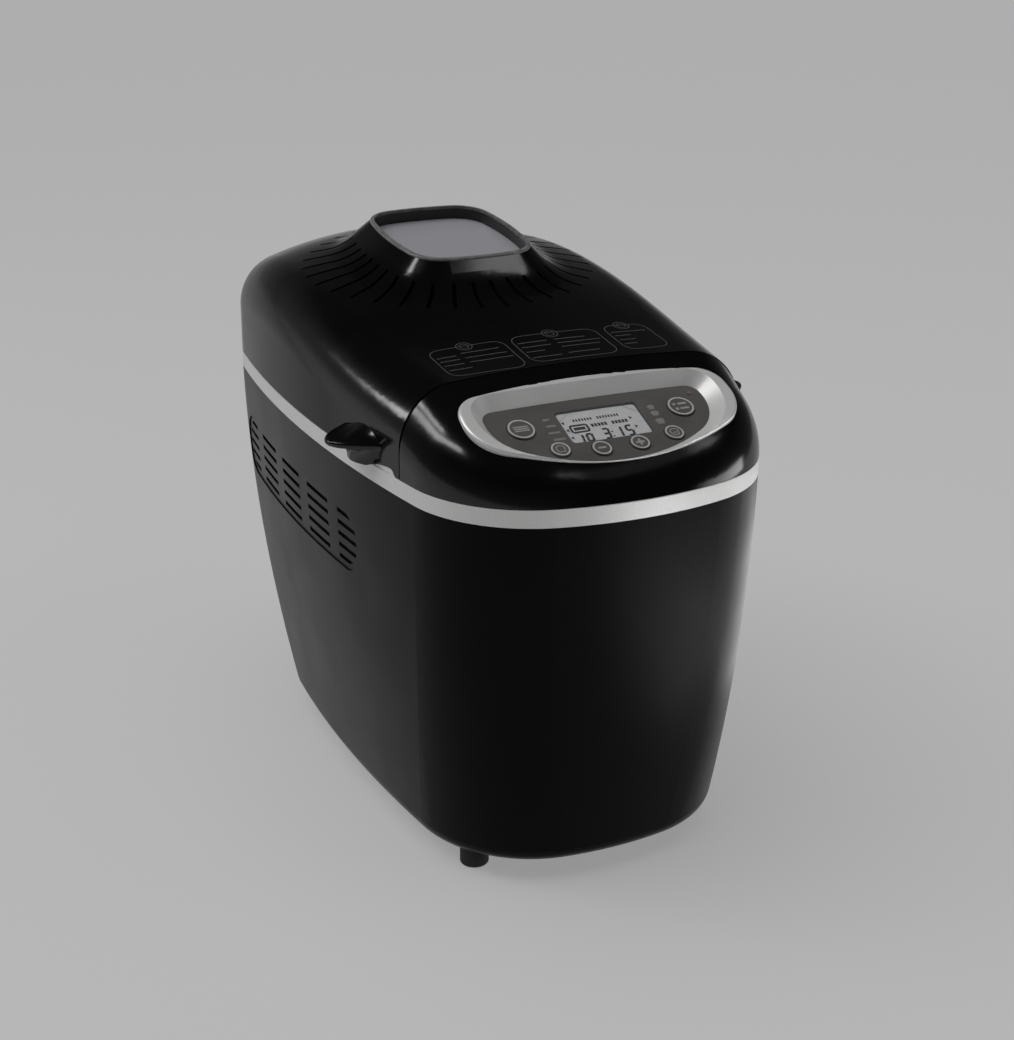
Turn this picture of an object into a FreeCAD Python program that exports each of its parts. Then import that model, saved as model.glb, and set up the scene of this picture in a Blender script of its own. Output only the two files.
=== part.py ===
import FreeCAD, Part
import math
import os

os.makedirs("parts", exist_ok=True)
V = FreeCAD.Vector

# All lengths are in millimetres. +X is to the right, the front is -Y, +Z is up.
# The origin is on the surface that the feet stand on, under the middle of the housing.

# Plan outline of the housing at the trim band: bowed sides joined by tangent corners
band_half_width = 115.6
half_depth = 210.0
side_bow_radius = 1000.0
front_bow_radius = 205.0
rear_bow_radius = 353.0
corner_radius = 74.0

# Heights of the housing
foot_height = 12.0
band_bottom = 227.0
band_height = 10.0

# Lower housing: tapers to the base, more at the rear, with a convex wall
base_side_inset = 16.6
base_front_inset = 20.0
base_rear_inset = 63.0
taper_curve = 0.84
base_edge_round = 11.0
shell_wall = 2.6
floor_wall = 3.0
shell_sections = 6

# Opening in the floor of the housing and the plate that closes it
hatch_side_inset = 41.0
hatch_front_inset = 62.0
hatch_rear_inset = 55.0
hatch_corner = 24.0
hatch_overlap = 9.0
base_plate_thickness = 2.5
base_slot_length = 44.0
base_slot_width = 4.0
base_slot_pitch = 10.0
base_slot_count = 6

# Feet
foot_radius = 8.5
foot_side_inset = 28.0
foot_front_inset = 44.0
foot_rear_inset = 51.0
foot_stud_radius = 2.6

# Side vents: a recessed grille with round ends and rows of slots that stop short of its edge
vent_front_inset = 136.4
vent_rear_inset = 64.4
vent_drop = 28.6
vent_height = 40.0
vent_corner = 19.5
vent_recess = 0.9
vent_thickness = 1.7
vent_slot_share = 0.7
vent_slot_height = 2.8
vent_margin = 3.8
vent_columns = 5
vent_rows = 5

# Trim band and the deck that it frames
band_wall = 4.0
deck_thickness = 3.0
deck_lip_height = 3.0
deck_lip_wall = 2.0
fit_gap = 0.15

# Top of the housing: flat sloping fascia at the front, crowned lid behind it
seam_inset = 90.0
seam_z = 288.5
seam_bow_radius = 750.0
seam_gap = 1.0
fascia_tilt = 22.7
lid_front_slope = 0.11
crest_behind_window = 46.7
crest_z = 320.0
rear_edge_z = 289.5
crown_radius_front = 3000.0
crown_radius_rear = 215.0
shoulder_radius = 34.0
lid_wall = 2.6
lid_gap = 0.8

# Grips at both sides of the lid and the scallop under them
grip_reach = 18.8
grip_heel = 4.6
grip_setback = 12.0
grip_length = 48.0
grip_peak_share = 0.44
grip_cheek_share = 0.6
grip_tip_z = 250.0
grip_top = 264.0
grip_thickness = 3.6
grip_hollow = 3.3
grip_sections = 13
scallop_lead = 13.5
scallop_length = 24.5
scallop_front_round = 4.5
scallop_rise = 3.8
scallop_gap = 0.4

# Viewing window: raised frame on the lid, its tilt and its two panes
window_offset = 20.3
window_z = 328.5
window_tilt = 6.5
window_half_width = 40.4
window_half_length = 47.2
window_corner = 19.0
window_bow_radius = 190.0
frame_rim_width = 2.6
frame_rim_rise = 1.5
frame_rim_round = 1.1
sleeve_wall = 1.9
sleeve_depth = 11.5
collar_angle = 44.0
collar_depth = 30.0
collar_blend = 38.0
pane_thickness = 3.0
pane_depth = 7.0
pane_rebate = 0.8

# Steam louvres: radial slots round the frame, out to an oval
louvre_count = 34
louvre_width = 2.4
louvre_outer_half_width = 92.0
louvre_outer_half_length = 88.0
louvre_start = 10.5

# Lid lining: a tub that leaves room over the pan, and a chimney up to the window
liner_wall = 1.5
liner_flange_z = 239.0
liner_flange_thickness = 2.0
liner_shoulder_z = 262.0
liner_roof_z = 282.0
liner_draft = 2.0
liner_roof_inset = 15.0
chimney_half_width = 36.0
chimney_half_length = 42.8
chimney_top_drop = 13.0
inner_pane_thickness = 2.5

# Hinge at the rear of the lid
hinge_inset = 9.0
hinge_z = 247.0
hinge_pin_radius = 3.0
hinge_pin_half_length = 48.0
hinge_running_gap = 0.05
hinge_block_radius = 8.5
hinge_notch_half_width = 70.0
hinge_notch_clearance = 1.0
hinge_notch_top = 257.0
hinge_arm_x = 36.0
hinge_arm_width = 10.0
hinge_arm_radius = 6.2
hinge_arm_gap = 0.5

# Control panel in its bezel; u is across, w runs up the slope, n is out of the slope
panel_inset = 48.0
panel_recess = 5.4
panel_side_inset = 14.3
panel_lower = 29.7
panel_upper = 23.0
panel_lower_bow = 105.0
panel_upper_bow = 1500.0
panel_side_bow = 160.0
panel_lower_corner = 30.0
panel_upper_corner = 8.0
panel_thickness = 2.5
bezel_side_inset = 32.9
bezel_lower = 35.6
bezel_upper = 35.0
bezel_lower_bow = 140.0
bezel_upper_bow = 450.0
bezel_side_bow = 200.0
bezel_lower_corner = 30.0
bezel_upper_corner = 17.0
bezel_rise = 6.6
bezel_depth = 3.5
bezel_slope = 8.0
bezel_edge_round = 2.0

# Display, lamp and keys
display_half_width = 25.4
display_upper = 15.0
display_lower = 12.0
display_corner = 2.5
display_thickness = 1.6
display_rise = 0.3
display_module_thickness = 4.5
lamp_inset = 7.7
lamp_w = 14.9
lamp_radius = 1.5
key_large_radius = 7.9
key_large_inset = 18.9
key_large_w = 4.3
key_small_radius = 5.7
key_outer_inset = 33.4
key_outer_w = -15.5
key_inner_u = 11.7
key_inner_w = -19.2
key_gap = 0.3
key_rise = 1.1
key_travel = 0.8
key_flange = 1.3
key_flange_thickness = 1.0
key_stem_radius = 2.0
key_dome = 0.6
board_depth = 9.0
board_thickness = 1.6
board_inset = 6.4
board_upper = 17.0
board_lower = 26.0
board_post_radius = 2.5
board_post_inset = 6.0
board_post_w = 9.0
switch_half_width = 3.0
switch_gap = 0.2

# Baking chamber
chamber_side_inset = 35.6
chamber_front_inset = 110.0
chamber_rear_inset = 60.0
chamber_corner = 30.0
chamber_wall = 1.0
chamber_floor_z = 70.0
chamber_flange = 7.0
chamber_bow_radius = 3000.0

# Bread pan
pan_side_gap = 18.0
pan_end_gap = 13.0
pan_corner = 24.0
pan_wall = 1.2
pan_floor_z = 88.0
pan_rim_z = 208.0
pan_draft = 4.0
pan_rim_width = 2.6
pan_rim_thickness = 2.4
pan_bow_radius = 3000.0
pan_edge_round = 8.0

# Pan supports on the chamber floor
support_inset = 22.0
support_half_width = 30.0
support_depth = 12.0
support_wall = 1.5

# Bail on the pan
bail_wire_radius = 2.4
bail_pivot_z = 199.0
bail_pivot_radius = 3.0
bail_arm = 58.5
bail_rest_gap = 0.4
bail_ear_width = 18.0
bail_ear_thickness = 3.0
bail_running_gap = 0.06
bail_bend_radius = 9.0
bail_eye_radius = 5.2
bail_eye_width = 5.4
bail_side_gap = 0.5

# Kneading shafts, paddles and couplings
shaft_pitch_share = 0.5
shaft_radius = 4.0
shaft_running_gap = 0.05
bush_radius = 9.0
bush_flange_radius = 13.0
bush_rise = 8.0
bush_drop = 6.0
bush_flange_thickness = 2.0
paddle_hub_radius = 8.5
paddle_hub_height = 24.0
paddle_gap = 0.6
paddle_length_share = 0.17
paddle_height = 34.0
paddle_thickness = 4.0
paddle_flat = 1.0
dog_radius = 13.0
dog_thickness = 4.0
dog_width = 7.0
dog_gap = 0.4
prong_width = 6.0
prong_height = 6.5
drive_plate_radius = 15.0
drive_plate_thickness = 3.0
bearing_radius = 10.0
bearing_flange_radius = 17.0
bearing_flange_thickness = 3.0
bearing_drop = 14.0

# Belt drive under the chamber and the motor in front of it
motor_inset = 62.0
motor_radius = 35.0
motor_bottom = 64.0
motor_top = 134.0
motor_cap_radius = 16.0
motor_cap_height = 7.0
motor_shaft_radius = 3.0
motor_rib_count = 12
motor_bracket_thickness = 2.0
motor_bracket_half_width = 44.0
motor_foot_width = 42.0
large_pulley_radius = 45.0
motor_pulley_radius = 9.0
twin_pulley_radius = 20.0
belt_width = 10.0
belt_thickness = 2.0
belt_running_gap = 0.3
pulley_flange = 2.0
pulley_flange_rise = 2.6
lower_belt_z = 24.0
upper_belt_z = 41.0
pulley_web = 4.0
pulley_spokes = 5

# Heating element round the pan
heater_radius = 3.25
heater_z = 98.0
heater_side_gap = 9.5
heater_end_gap = 6.5
heater_corner = 22.0
heater_gap_half = 14.0
heater_tail = 14.0
heater_bend = 6.0
insulator_radius = 6.5
insulator_length = 8.0
heater_clip_width = 8.0
heater_clip_thickness = 1.2

# Temperature sensor, power board, cord inlet
sensor_radius = 3.0
sensor_reach = 6.0
sensor_z = 128.0
sensor_x = 36.0
sensor_flange_radius = 8.0
sensor_body = 11.0
power_board_width = 84.0
power_board_bottom = 150.0
power_board_height = 62.0
power_board_gap = 21.0
power_board_thickness = 1.6
inlet_x = 52.0
inlet_z = 44.0
inlet_radius = 8.0
inlet_bore = 3.6
inlet_collar = 10.5

# Screws in the base plate
screw_head_radius = 3.6
screw_head_height = 2.2
screw_radius = 1.6
screw_length = 4.5

band_top = band_bottom + band_height
lid_bottom = band_top + lid_gap
deck_top = band_bottom + deck_thickness
tilt = math.radians(fascia_tilt)

# Places that follow from the size of the housing
base_half_width = band_half_width - base_side_inset
base_front = half_depth - base_front_inset
base_rear = half_depth - base_rear_inset
hatch_half_width = base_half_width - hatch_side_inset
hatch_front = base_front - hatch_front_inset
hatch_rear = base_rear - hatch_rear_inset
foot_x = base_half_width - foot_side_inset
foot_front_y = foot_front_inset - base_front
foot_rear_y = base_rear - foot_rear_inset
vent_front_y = vent_front_inset - half_depth
vent_rear_y = half_depth - vent_rear_inset
vent_top = band_bottom - vent_drop
vent_bottom = vent_top - vent_height
seam_y = seam_inset - half_depth
grip_front_y = seam_y + grip_setback
grip_rear_y = grip_front_y + grip_length
scallop_front_y = grip_front_y - scallop_lead
scallop_rear_y = scallop_front_y + scallop_length
hinge_y = half_depth - hinge_inset
panel_y = panel_inset - half_depth
bezel_half_width = band_half_width - bezel_side_inset
panel_half_width = bezel_half_width - panel_side_inset
lamp_u = panel_half_width - lamp_inset
key_large_u = panel_half_width - key_large_inset
key_outer_u = panel_half_width - key_outer_inset
board_half_width = panel_half_width - board_inset
board_post_u = board_half_width - board_post_inset
chamber_half_width = band_half_width - chamber_side_inset
chamber_front = chamber_front_inset - half_depth
chamber_rear = half_depth - chamber_rear_inset
window_y = 0.5 * (chamber_front + chamber_rear) + window_offset
crest_y = window_y + crest_behind_window
pan_half_width = chamber_half_width - pan_side_gap
pan_front = chamber_front + pan_end_gap
pan_rear = chamber_rear - pan_end_gap
pan_y = 0.5 * (pan_front + pan_rear)
shaft_pitch = shaft_pitch_share * (pan_rear - pan_front)
paddle_length = paddle_length_share * (pan_rear - pan_front)
heater_half_width = chamber_half_width - heater_side_gap
heater_front = chamber_front + heater_end_gap
heater_rear = chamber_rear - heater_end_gap
motor_y = motor_inset - half_depth
power_board_y = chamber_front - power_board_gap
far = 2.0 * half_depth
shaft_front_y = pan_y - 0.5 * shaft_pitch
shaft_rear_y = pan_y + 0.5 * shaft_pitch


def meet(c1, r1, c2, r2, lean):
    # Common point of two circles, the one furthest to +X and to the lean side in Y
    dx = c2[0] - c1[0]
    dy = c2[1] - c1[1]
    d = math.hypot(dx, dy)
    along = (r1 * r1 - r2 * r2 + d * d) / (2.0 * d)
    across = math.sqrt(r1 * r1 - along * along)
    best = None
    for sign in (-1.0, 1.0):
        x = c1[0] + (along * dx - sign * across * dy) / d
        y = c1[1] + (along * dy + sign * across * dx) / d
        if best is None or x + lean * y > best[0] + lean * best[1]:
            best = (x, y)
    return best


def on_circle(c, r, p):
    # The point of a circle in the direction of p
    d = math.hypot(p[0] - c[0], p[1] - c[1])
    return (c[0] + r * (p[0] - c[0]) / d, c[1] + r * (p[1] - c[1]) / d)


def plan(a, front, rear, side_bow, front_bow, rear_bow, front_corner, rear_corner):
    return (a, front, rear, side_bow, front_bow, rear_bow, front_corner, rear_corner)


def grow(p, d):
    # Parallel outline, d further out
    return (p[0] + d, p[1] - d, p[2] + d, p[3] + d, p[4] + d, p[5] + d, p[6] + d, p[7] + d)


def outline(p, z):
    # Closed wire of eight tangent arcs: bowed front, side, rear and side with round corners
    a, yf, yb, rs, rf, rb, cf, cb = p
    ys = 0.5 * (yf + yb)
    side = (a - rs, ys)
    front = (0.0, yf + rf)
    rear = (0.0, yb - rb)
    kf = meet(side, rs - cf, front, rf - cf, -1.0)
    kb = meet(side, rs - cb, rear, rb - cb, 1.0)
    f = on_circle(front, rf, kf)
    s1 = on_circle(side, rs, kf)
    s2 = on_circle(side, rs, kb)
    b = on_circle(rear, rb, kb)
    mf = on_circle(kf, cf, (f[0] + s1[0] - kf[0], f[1] + s1[1] - kf[1]))
    mb = on_circle(kb, cb, (b[0] + s2[0] - kb[0], b[1] + s2[1] - kb[1]))
    ms = on_circle(side, rs, (0.5 * (s1[0] + s2[0]), 0.5 * (s1[1] + s2[1])))

    def right(q):
        return V(q[0], q[1], z)

    def left(q):
        return V(-q[0], q[1], z)

    arcs = [
        Part.Arc(left(f), V(0, yf, z), right(f)),
        Part.Arc(right(f), right(mf), right(s1)),
        Part.Arc(right(s1), right(ms), right(s2)),
        Part.Arc(right(s2), right(mb), right(b)),
        Part.Arc(right(b), V(0, yb, z), left(b)),
        Part.Arc(left(b), left(mb), left(s2)),
        Part.Arc(left(s2), left(ms), left(s1)),
        Part.Arc(left(s1), left(mf), left(f)),
    ]
    return Part.Wire([c.toShape() for c in arcs])


def prism(p, z0, z1):
    return Part.Face(outline(p, z0)).extrude(V(0, 0, z1 - z0))


def box(x0, x1, y0, y1, z0, z1):
    return Part.makeBox(x1 - x0, y1 - y0, z1 - z0, V(x0, y0, z0))


def rod(r, z0, z1, x=0.0, y=0.0):
    return Part.makeCylinder(r, z1 - z0, V(x, y, z0), V(0, 0, 1))


def fuse(shapes):
    result = shapes[0].multiFuse(shapes[1:])
    return result.removeSplitter()


def mirror_x(shape):
    return shape.mirror(V(0, 0, 0), V(1, 0, 0))


def save(name, shape):
    shape.exportStep("parts/" + name + ".step")


band_plan = plan(band_half_width, -half_depth, half_depth, side_bow_radius,
                 front_bow_radius, rear_bow_radius, corner_radius, corner_radius)


def housing_plan(z):
    # Outline of the lower housing at height z: a convex taper from the band to the base
    w = (band_bottom - z) / (band_bottom - foot_height)
    q = w + taper_curve * w * (w - 1.0)
    a = band_half_width + (base_half_width - band_half_width) * q
    yf = -half_depth + (half_depth - base_front) * q
    yb = half_depth - (half_depth - base_rear) * q
    return plan(a, yf, yb, side_bow_radius, front_bow_radius, rear_bow_radius,
                corner_radius, corner_radius)


def housing(inset, z0, z1):
    # Smooth solid of the lower housing between two heights, moved in by inset
    wires = []
    for i in range(shell_sections):
        z = z0 + (z1 - z0) * i / (shell_sections - 1.0)
        wires.append(outline(grow(housing_plan(z), -inset), z))
    return Part.makeLoft(wires, True, False)


def flat_edges(shape, z):
    return [e for e in shape.Edges if abs(e.BoundBox.ZMin - z) < 0.01 and abs(e.BoundBox.ZMax - z) < 0.01]


def vent_prism(side, margin):
    # Rounded rectangle of the side vent, run through the wall on one side
    y0 = vent_front_y - margin
    y1 = vent_rear_y + margin
    z0 = vent_bottom - margin
    z1 = vent_top + margin
    block = box(0.5 * band_half_width, band_half_width + 5.0, y0, y1, z0, z1)
    long_edges = [e for e in block.Edges if e.BoundBox.XLength > 1.0]
    block = block.makeFillet(vent_corner + margin, long_edges)
    return block if side > 0 else mirror_x(block)


# Lower housing shell
outer = housing(0.0, foot_height, band_bottom)
outer = outer.makeFillet(base_edge_round, flat_edges(outer, foot_height))
inner = housing(shell_wall, foot_height + floor_wall, band_bottom + 1.0)
hatch_plan = plan(hatch_half_width, -hatch_front, hatch_rear, side_bow_radius,
                  side_bow_radius, side_bow_radius, hatch_corner, hatch_corner)
body_shell = outer.cut(inner)
hatch_hole = prism(hatch_plan, foot_height - 1.0, foot_height + floor_wall + 1.0)
stud_holes = []
foot_spots = [(sx * foot_x, y) for sx in (-1.0, 1.0) for y in (foot_front_y, foot_rear_y)]
for fx, fy in foot_spots:
    stud_holes.append(rod(foot_stud_radius, foot_height - 1.0, foot_height + floor_wall + 1.0, fx, fy))
plate_z0 = foot_height + floor_wall
plate_z1 = plate_z0 + base_plate_thickness
screw_edge = 0.5 * hatch_overlap
screw_spots = []
for sx in (-1.0, 1.0):
    screw_spots.append((sx * (hatch_half_width + screw_edge), -0.5 * hatch_front))
    screw_spots.append((sx * (hatch_half_width + screw_edge), 0.5 * hatch_rear))
pilots = []
for x, y in screw_spots:
    pilots.append(rod(screw_radius, plate_z1 - screw_length - fit_gap, plate_z0 + 1.0, x, y))
inlet_plan_y = housing_plan(inlet_z)[2]
inlet_hole = Part.makeCylinder(inlet_radius, 60.0, V(inlet_x, inlet_plan_y - 45.0, inlet_z), V(0, 1, 0))
holes = [hatch_hole, inlet_hole, vent_prism(1, 0.0), vent_prism(-1, 0.0)]
body_shell = body_shell.cut(holes + stud_holes + pilots)
save("body_shell", body_shell)

# Side vent grilles follow the curve of the wall, a little inside it
slab = housing(vent_recess, foot_height, band_bottom).cut(
    housing(vent_recess + vent_thickness, foot_height, band_bottom))
slots = []
vent_mid_y = 0.5 * (vent_front_y + vent_rear_y)
vent_mid_z = 0.5 * (vent_bottom + vent_top)
vent_slot_pitch_y = (vent_rear_y - vent_front_y) / (vent_columns - 0.5)
vent_slot_pitch_z = vent_height / (vent_rows + 0.5)
vent_slot_length = vent_slot_share * vent_slot_pitch_y
for i in range(vent_columns):
    for j in range(vent_rows):
        sy = vent_mid_y + (i - 0.5 * (vent_columns - 1)) * vent_slot_pitch_y
        sz = vent_mid_z + (j - 0.5 * (vent_rows - 1)) * vent_slot_pitch_z
        slot = box(0.5 * band_half_width, band_half_width + 5.0,
                   sy - 0.5 * vent_slot_length, sy + 0.5 * vent_slot_length,
                   sz - 0.5 * vent_slot_height, sz + 0.5 * vent_slot_height)
        slots.append(slot.common(vent_prism(1, -vent_margin)))
grille = slab.common(vent_prism(1, 0.0)).cut(slots)
save("vent_grille_right", grille)
save("vent_grille_left", mirror_x(grille))

# Base plate lies on the floor of the housing, over its opening
plate_plan = grow(hatch_plan, hatch_overlap)
base_plate = prism(plate_plan, plate_z0, plate_z1)
cuts = []
for i in range(base_slot_count):
    y = (i - 0.5 * (base_slot_count - 1)) * base_slot_pitch - 0.47 * hatch_front
    cuts.append(box(-0.5 * base_slot_length, 0.5 * base_slot_length, y - 0.5 * base_slot_width,
                    y + 0.5 * base_slot_width, plate_z0 - 1.0, plate_z1 + 1.0))
for x, y in screw_spots:
    cuts.append(rod(screw_radius, plate_z0 - 1.0, plate_z1 + 1.0, x, y))
base_plate = base_plate.cut(cuts)
save("base_plate", base_plate)

# Screws hold the plate down into the floor of the housing
screws = []
for x, y in screw_spots:
    head = rod(screw_head_radius, plate_z1, plate_z1 + screw_head_height, x, y)
    head = head.makeFillet(0.4 * screw_head_height, flat_edges(head, plate_z1 + screw_head_height))
    shank = rod(screw_radius - fit_gap, plate_z1 - screw_length, plate_z1, x, y)
    screws.append(fuse([head, shank]))
save("base_screws", Part.makeCompound(screws))

# Feet with studs pressed through the floor
feet = []
for fx, fy in foot_spots:
    pad = rod(foot_radius, 0.0, foot_height, fx, fy)
    pad = pad.makeFillet(0.2 * foot_radius, flat_edges(pad, 0.0))
    stud = rod(foot_stud_radius, foot_height, foot_height + floor_wall, fx, fy)
    barb = Part.makeCone(1.5 * foot_stud_radius, 0.6 * foot_stud_radius, foot_stud_radius,
                         V(fx, fy, foot_height + floor_wall), V(0, 0, 1))
    feet.append(fuse([pad, stud, barb]))
save("feet", Part.makeCompound(feet))


# Trim band between the housing and the lid, with a raised scallop under each grip
def scallop(margin, z0):
    # Tongue in side view, steep in front and gently falling to the rear, run through both side walls
    x0 = -band_half_width - 5.0
    crest_y = scallop_front_y + scallop_front_round
    crest_z = band_top + scallop_rise - margin
    crest = V(x0, crest_y, crest_z)
    feet_y = [scallop_front_y + margin, scallop_rear_y - margin]
    arcs = []
    for foot_y in feet_y:
        # Each flank is an arc that is level at the crest and ends on the foot
        run = foot_y - crest_y
        rise = crest_z - band_top
        radius = (run * run + rise * rise) / (2.0 * rise)
        half_turn = 0.5 * math.asin(run / radius)
        mid = V(x0, crest_y + radius * math.sin(half_turn), crest_z - radius * (1.0 - math.cos(half_turn)))
        arcs.append(Part.Arc(V(x0, foot_y, band_top), mid, crest).toShape())
    corners = [V(x0, feet_y[1], band_top), V(x0, feet_y[1], z0)]
    corners += [V(x0, feet_y[0], z0), V(x0, feet_y[0], band_top)]
    sides = [Part.makeLine(p, q) for p, q in zip(corners, corners[1:])]
    wire = Part.Wire(Part.sortEdges(arcs + sides)[0])
    return Part.Face(wire).extrude(V(-2.0 * x0, 0, 0))


ring = prism(band_plan, band_bottom, band_top)
ring = ring.cut(prism(grow(band_plan, -band_wall), band_bottom - 1.0, band_top + 1.0))
tongues = prism(grow(band_plan, -0.5), band_bottom, band_top + scallop_rise)
tongues = tongues.cut(prism(grow(band_plan, -band_wall), band_bottom - 1.0, band_top + scallop_rise + 1.0))
tongues = tongues.common(scallop(scallop_gap, band_bottom))
trim_band = fuse([ring, tongues])
save("trim_band", trim_band)

# Deck closes the top of the housing round the chamber mouth
chamber_plan = plan(chamber_half_width, chamber_front, chamber_rear, chamber_bow_radius,
                    chamber_bow_radius, chamber_bow_radius, chamber_corner, chamber_corner)
deck = prism(grow(band_plan, -band_wall - fit_gap), band_bottom, deck_top)
lip = prism(grow(chamber_plan, deck_lip_wall), band_bottom, deck_top + deck_lip_height)
deck = fuse([deck, lip]).cut(prism(chamber_plan, band_bottom - 1.0, deck_top + deck_lip_height + 1.0))
save("top_deck", deck)


# Top of the housing
def fascia_height(y):
    return seam_z + (y - seam_y) * math.tan(tilt)


def lid_height(y):
    # Mid-line of the lid: rises from the seam to the crest, then falls to the rear edge
    if y <= seam_y:
        return seam_z + lid_front_slope * (y - seam_y)
    if y <= crest_y:
        length = crest_y - seam_y
        t = (y - seam_y) / length
        h0 = 2.0 * t ** 3 - 3.0 * t ** 2 + 1.0
        h1 = t ** 3 - 2.0 * t ** 2 + t
        return seam_z * h0 + lid_front_slope * length * h1 + crest_z * (1.0 - h0)
    s = (y - crest_y) / (half_depth - crest_y)
    return crest_z - (crest_z - rear_edge_z) * s * s


def crown_radius(y):
    s = max(0.0, (y - seam_y) / (half_depth - seam_y))
    return 1.0 / (1.0 / crown_radius_front + (1.0 / crown_radius_rear - 1.0 / crown_radius_front) * s)


top_low = band_bottom - 20.0
top_half = band_half_width + 8.0


def lid_block(drop):
    # Everything under the crowned top of the lid, lowered by drop
    wires = []
    stations = 10
    y0 = -half_depth - 8.0
    y1 = half_depth + 8.0
    for i in range(stations):
        y = y0 + (y1 - y0) * i / (stations - 1.0)
        r = crown_radius(y)
        z = lid_height(y) - drop
        edge = z - (r - math.sqrt(r * r - top_half * top_half))
        a = V(-top_half, y, edge)
        b = V(0, y, z)
        c = V(top_half, y, edge)
        d = V(top_half, y, top_low)
        e = V(-top_half, y, top_low)
        wires.append(Part.Wire([Part.Arc(a, b, c).toShape(), Part.makeLine(c, d), Part.makeLine(d, e),
                                Part.makeLine(e, a)]))
    return Part.makeLoft(wires, True, False)


def fascia_block(drop):
    # Everything under the flat slope of the fascia, lowered square to it by drop
    y0 = -half_depth - 20.0
    y1 = seam_y + 60.0
    down = drop / math.cos(tilt)
    pts = [V(-top_half, y0, top_low), V(-top_half, y1, top_low), V(-top_half, y1, fascia_height(y1) - down),
           V(-top_half, y0, fascia_height(y0) - down)]
    return Part.Face(Part.makePolygon(pts + pts[:1])).extrude(V(2.0 * top_half, 0, 0))


def round_over(block, walls, radius, y_limit):
    # Walls cut to the height of the block, with the shoulder between them rounded
    solid = walls.common(block)
    edges = []
    for e in solid.Edges:
        bb = e.BoundBox
        flat = bb.ZMax - bb.ZMin < 0.95 * bb.DiagonalLength
        if bb.ZMin > band_bottom and flat and bb.YMin < y_limit:
            edges.append(e)
    return solid.makeFillet(radius, edges)


def dome(inset, front):
    walls = prism(grow(band_plan, -inset), top_low, crest_z + 20.0)
    if front:
        return round_over(fascia_block(inset), walls, shoulder_radius - inset, seam_y + 59.0)
    return round_over(lid_block(inset), walls, shoulder_radius - inset, half_depth + 20.0)


def seam_drum(offset):
    # The fascia side of the seam: a tall drum whose rear bulges to the seam line
    r = seam_bow_radius + offset
    return Part.makeCylinder(r, far, V(0, seam_y - seam_bow_radius, 0), V(0, 0, 1))


def above(z):
    return box(-far, far, -far, far, z, z + far)


def on_panel(shape):
    # From panel coordinates to the slope of the fascia
    out = shape.copy()
    out.rotate(V(0, 0, 0), V(1, 0, 0), fascia_tilt)
    out.translate(V(0, panel_y, fascia_height(panel_y) - panel_recess / math.cos(tilt)))
    return out


panel_plan = plan(panel_half_width, -panel_lower, panel_upper, panel_side_bow, panel_lower_bow,
                  panel_upper_bow, panel_lower_corner, panel_upper_corner)
bezel_plan = plan(bezel_half_width, -bezel_lower, bezel_upper, bezel_side_bow, bezel_lower_bow,
                  bezel_upper_bow, bezel_lower_corner, bezel_upper_corner)

front_outer = dome(0.0, True)
front_inner = dome(lid_wall, True)
fascia = front_outer.common(seam_drum(0.0)).common(above(band_top))
fascia = fascia.cut(front_inner.common(seam_drum(-lid_wall)))
fascia = fascia.cut(on_panel(prism(bezel_plan, -30.0, 30.0)))
save("front_fascia", fascia)

# Bezel: a raised ring whose inner face slopes down to the panel
ring = prism(bezel_plan, -bezel_depth, bezel_rise)
ring = ring.makeFillet(bezel_edge_round, flat_edges(ring, bezel_rise))
slope = Part.makeLoft([outline(panel_plan, 0.0), outline(grow(panel_plan, bezel_slope), bezel_rise + 0.5)],
                      True, True)
well = prism(panel_plan, -bezel_depth - 1.0, 0.0)
ring = ring.cut([slope, well])
save("bezel_ring", on_panel(ring))

# Control panel with holes for the keys, the display and the lamp
key_spots = {
    "key_menu": (-key_large_u, key_large_w, key_large_radius),
    "key_start": (key_large_u, key_large_w, key_large_radius),
    "key_colour": (-key_outer_u, key_outer_w, key_small_radius),
    "key_minus": (-key_inner_u, key_inner_w, key_small_radius),
    "key_plus": (key_inner_u, key_inner_w, key_small_radius),
    "key_weight": (key_outer_u, key_outer_w, key_small_radius),
}
display_plan = plan(display_half_width, -display_lower, display_upper, side_bow_radius, side_bow_radius,
                    side_bow_radius, display_corner, display_corner)
panel = prism(grow(panel_plan, -fit_gap), -panel_thickness, 0.0)
cuts = [prism(display_plan, -panel_thickness - 1.0, 1.0),
        rod(lamp_radius, -panel_thickness - 1.0, 1.0, lamp_u, lamp_w)]
for u, w, r in key_spots.values():
    cuts.append(rod(r + key_gap, -panel_thickness - 1.0, 1.0, u, w))
panel = panel.cut(cuts)
posts = []
for su in (-1.0, 1.0):
    posts.append(rod(board_post_radius, -board_depth, -panel_thickness, su * board_post_u, -board_post_w))
    posts.append(rod(board_post_radius, -board_depth, -panel_thickness,
                     su * board_post_u, board_upper - 2.0))
panel = fuse([panel] + posts)
save("control_panel", on_panel(panel))

lens = prism(grow(display_plan, -fit_gap), display_rise - display_thickness, display_rise)
save("display_window", on_panel(lens))
module_top = display_rise - display_thickness
module = prism(grow(display_plan, -1.0), module_top - display_module_thickness, module_top)
save("display_module", on_panel(module))
lamp = rod(lamp_radius - 0.5 * fit_gap, -board_depth, 0.4, lamp_u, lamp_w)
save("status_lamp", on_panel(lamp))

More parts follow.
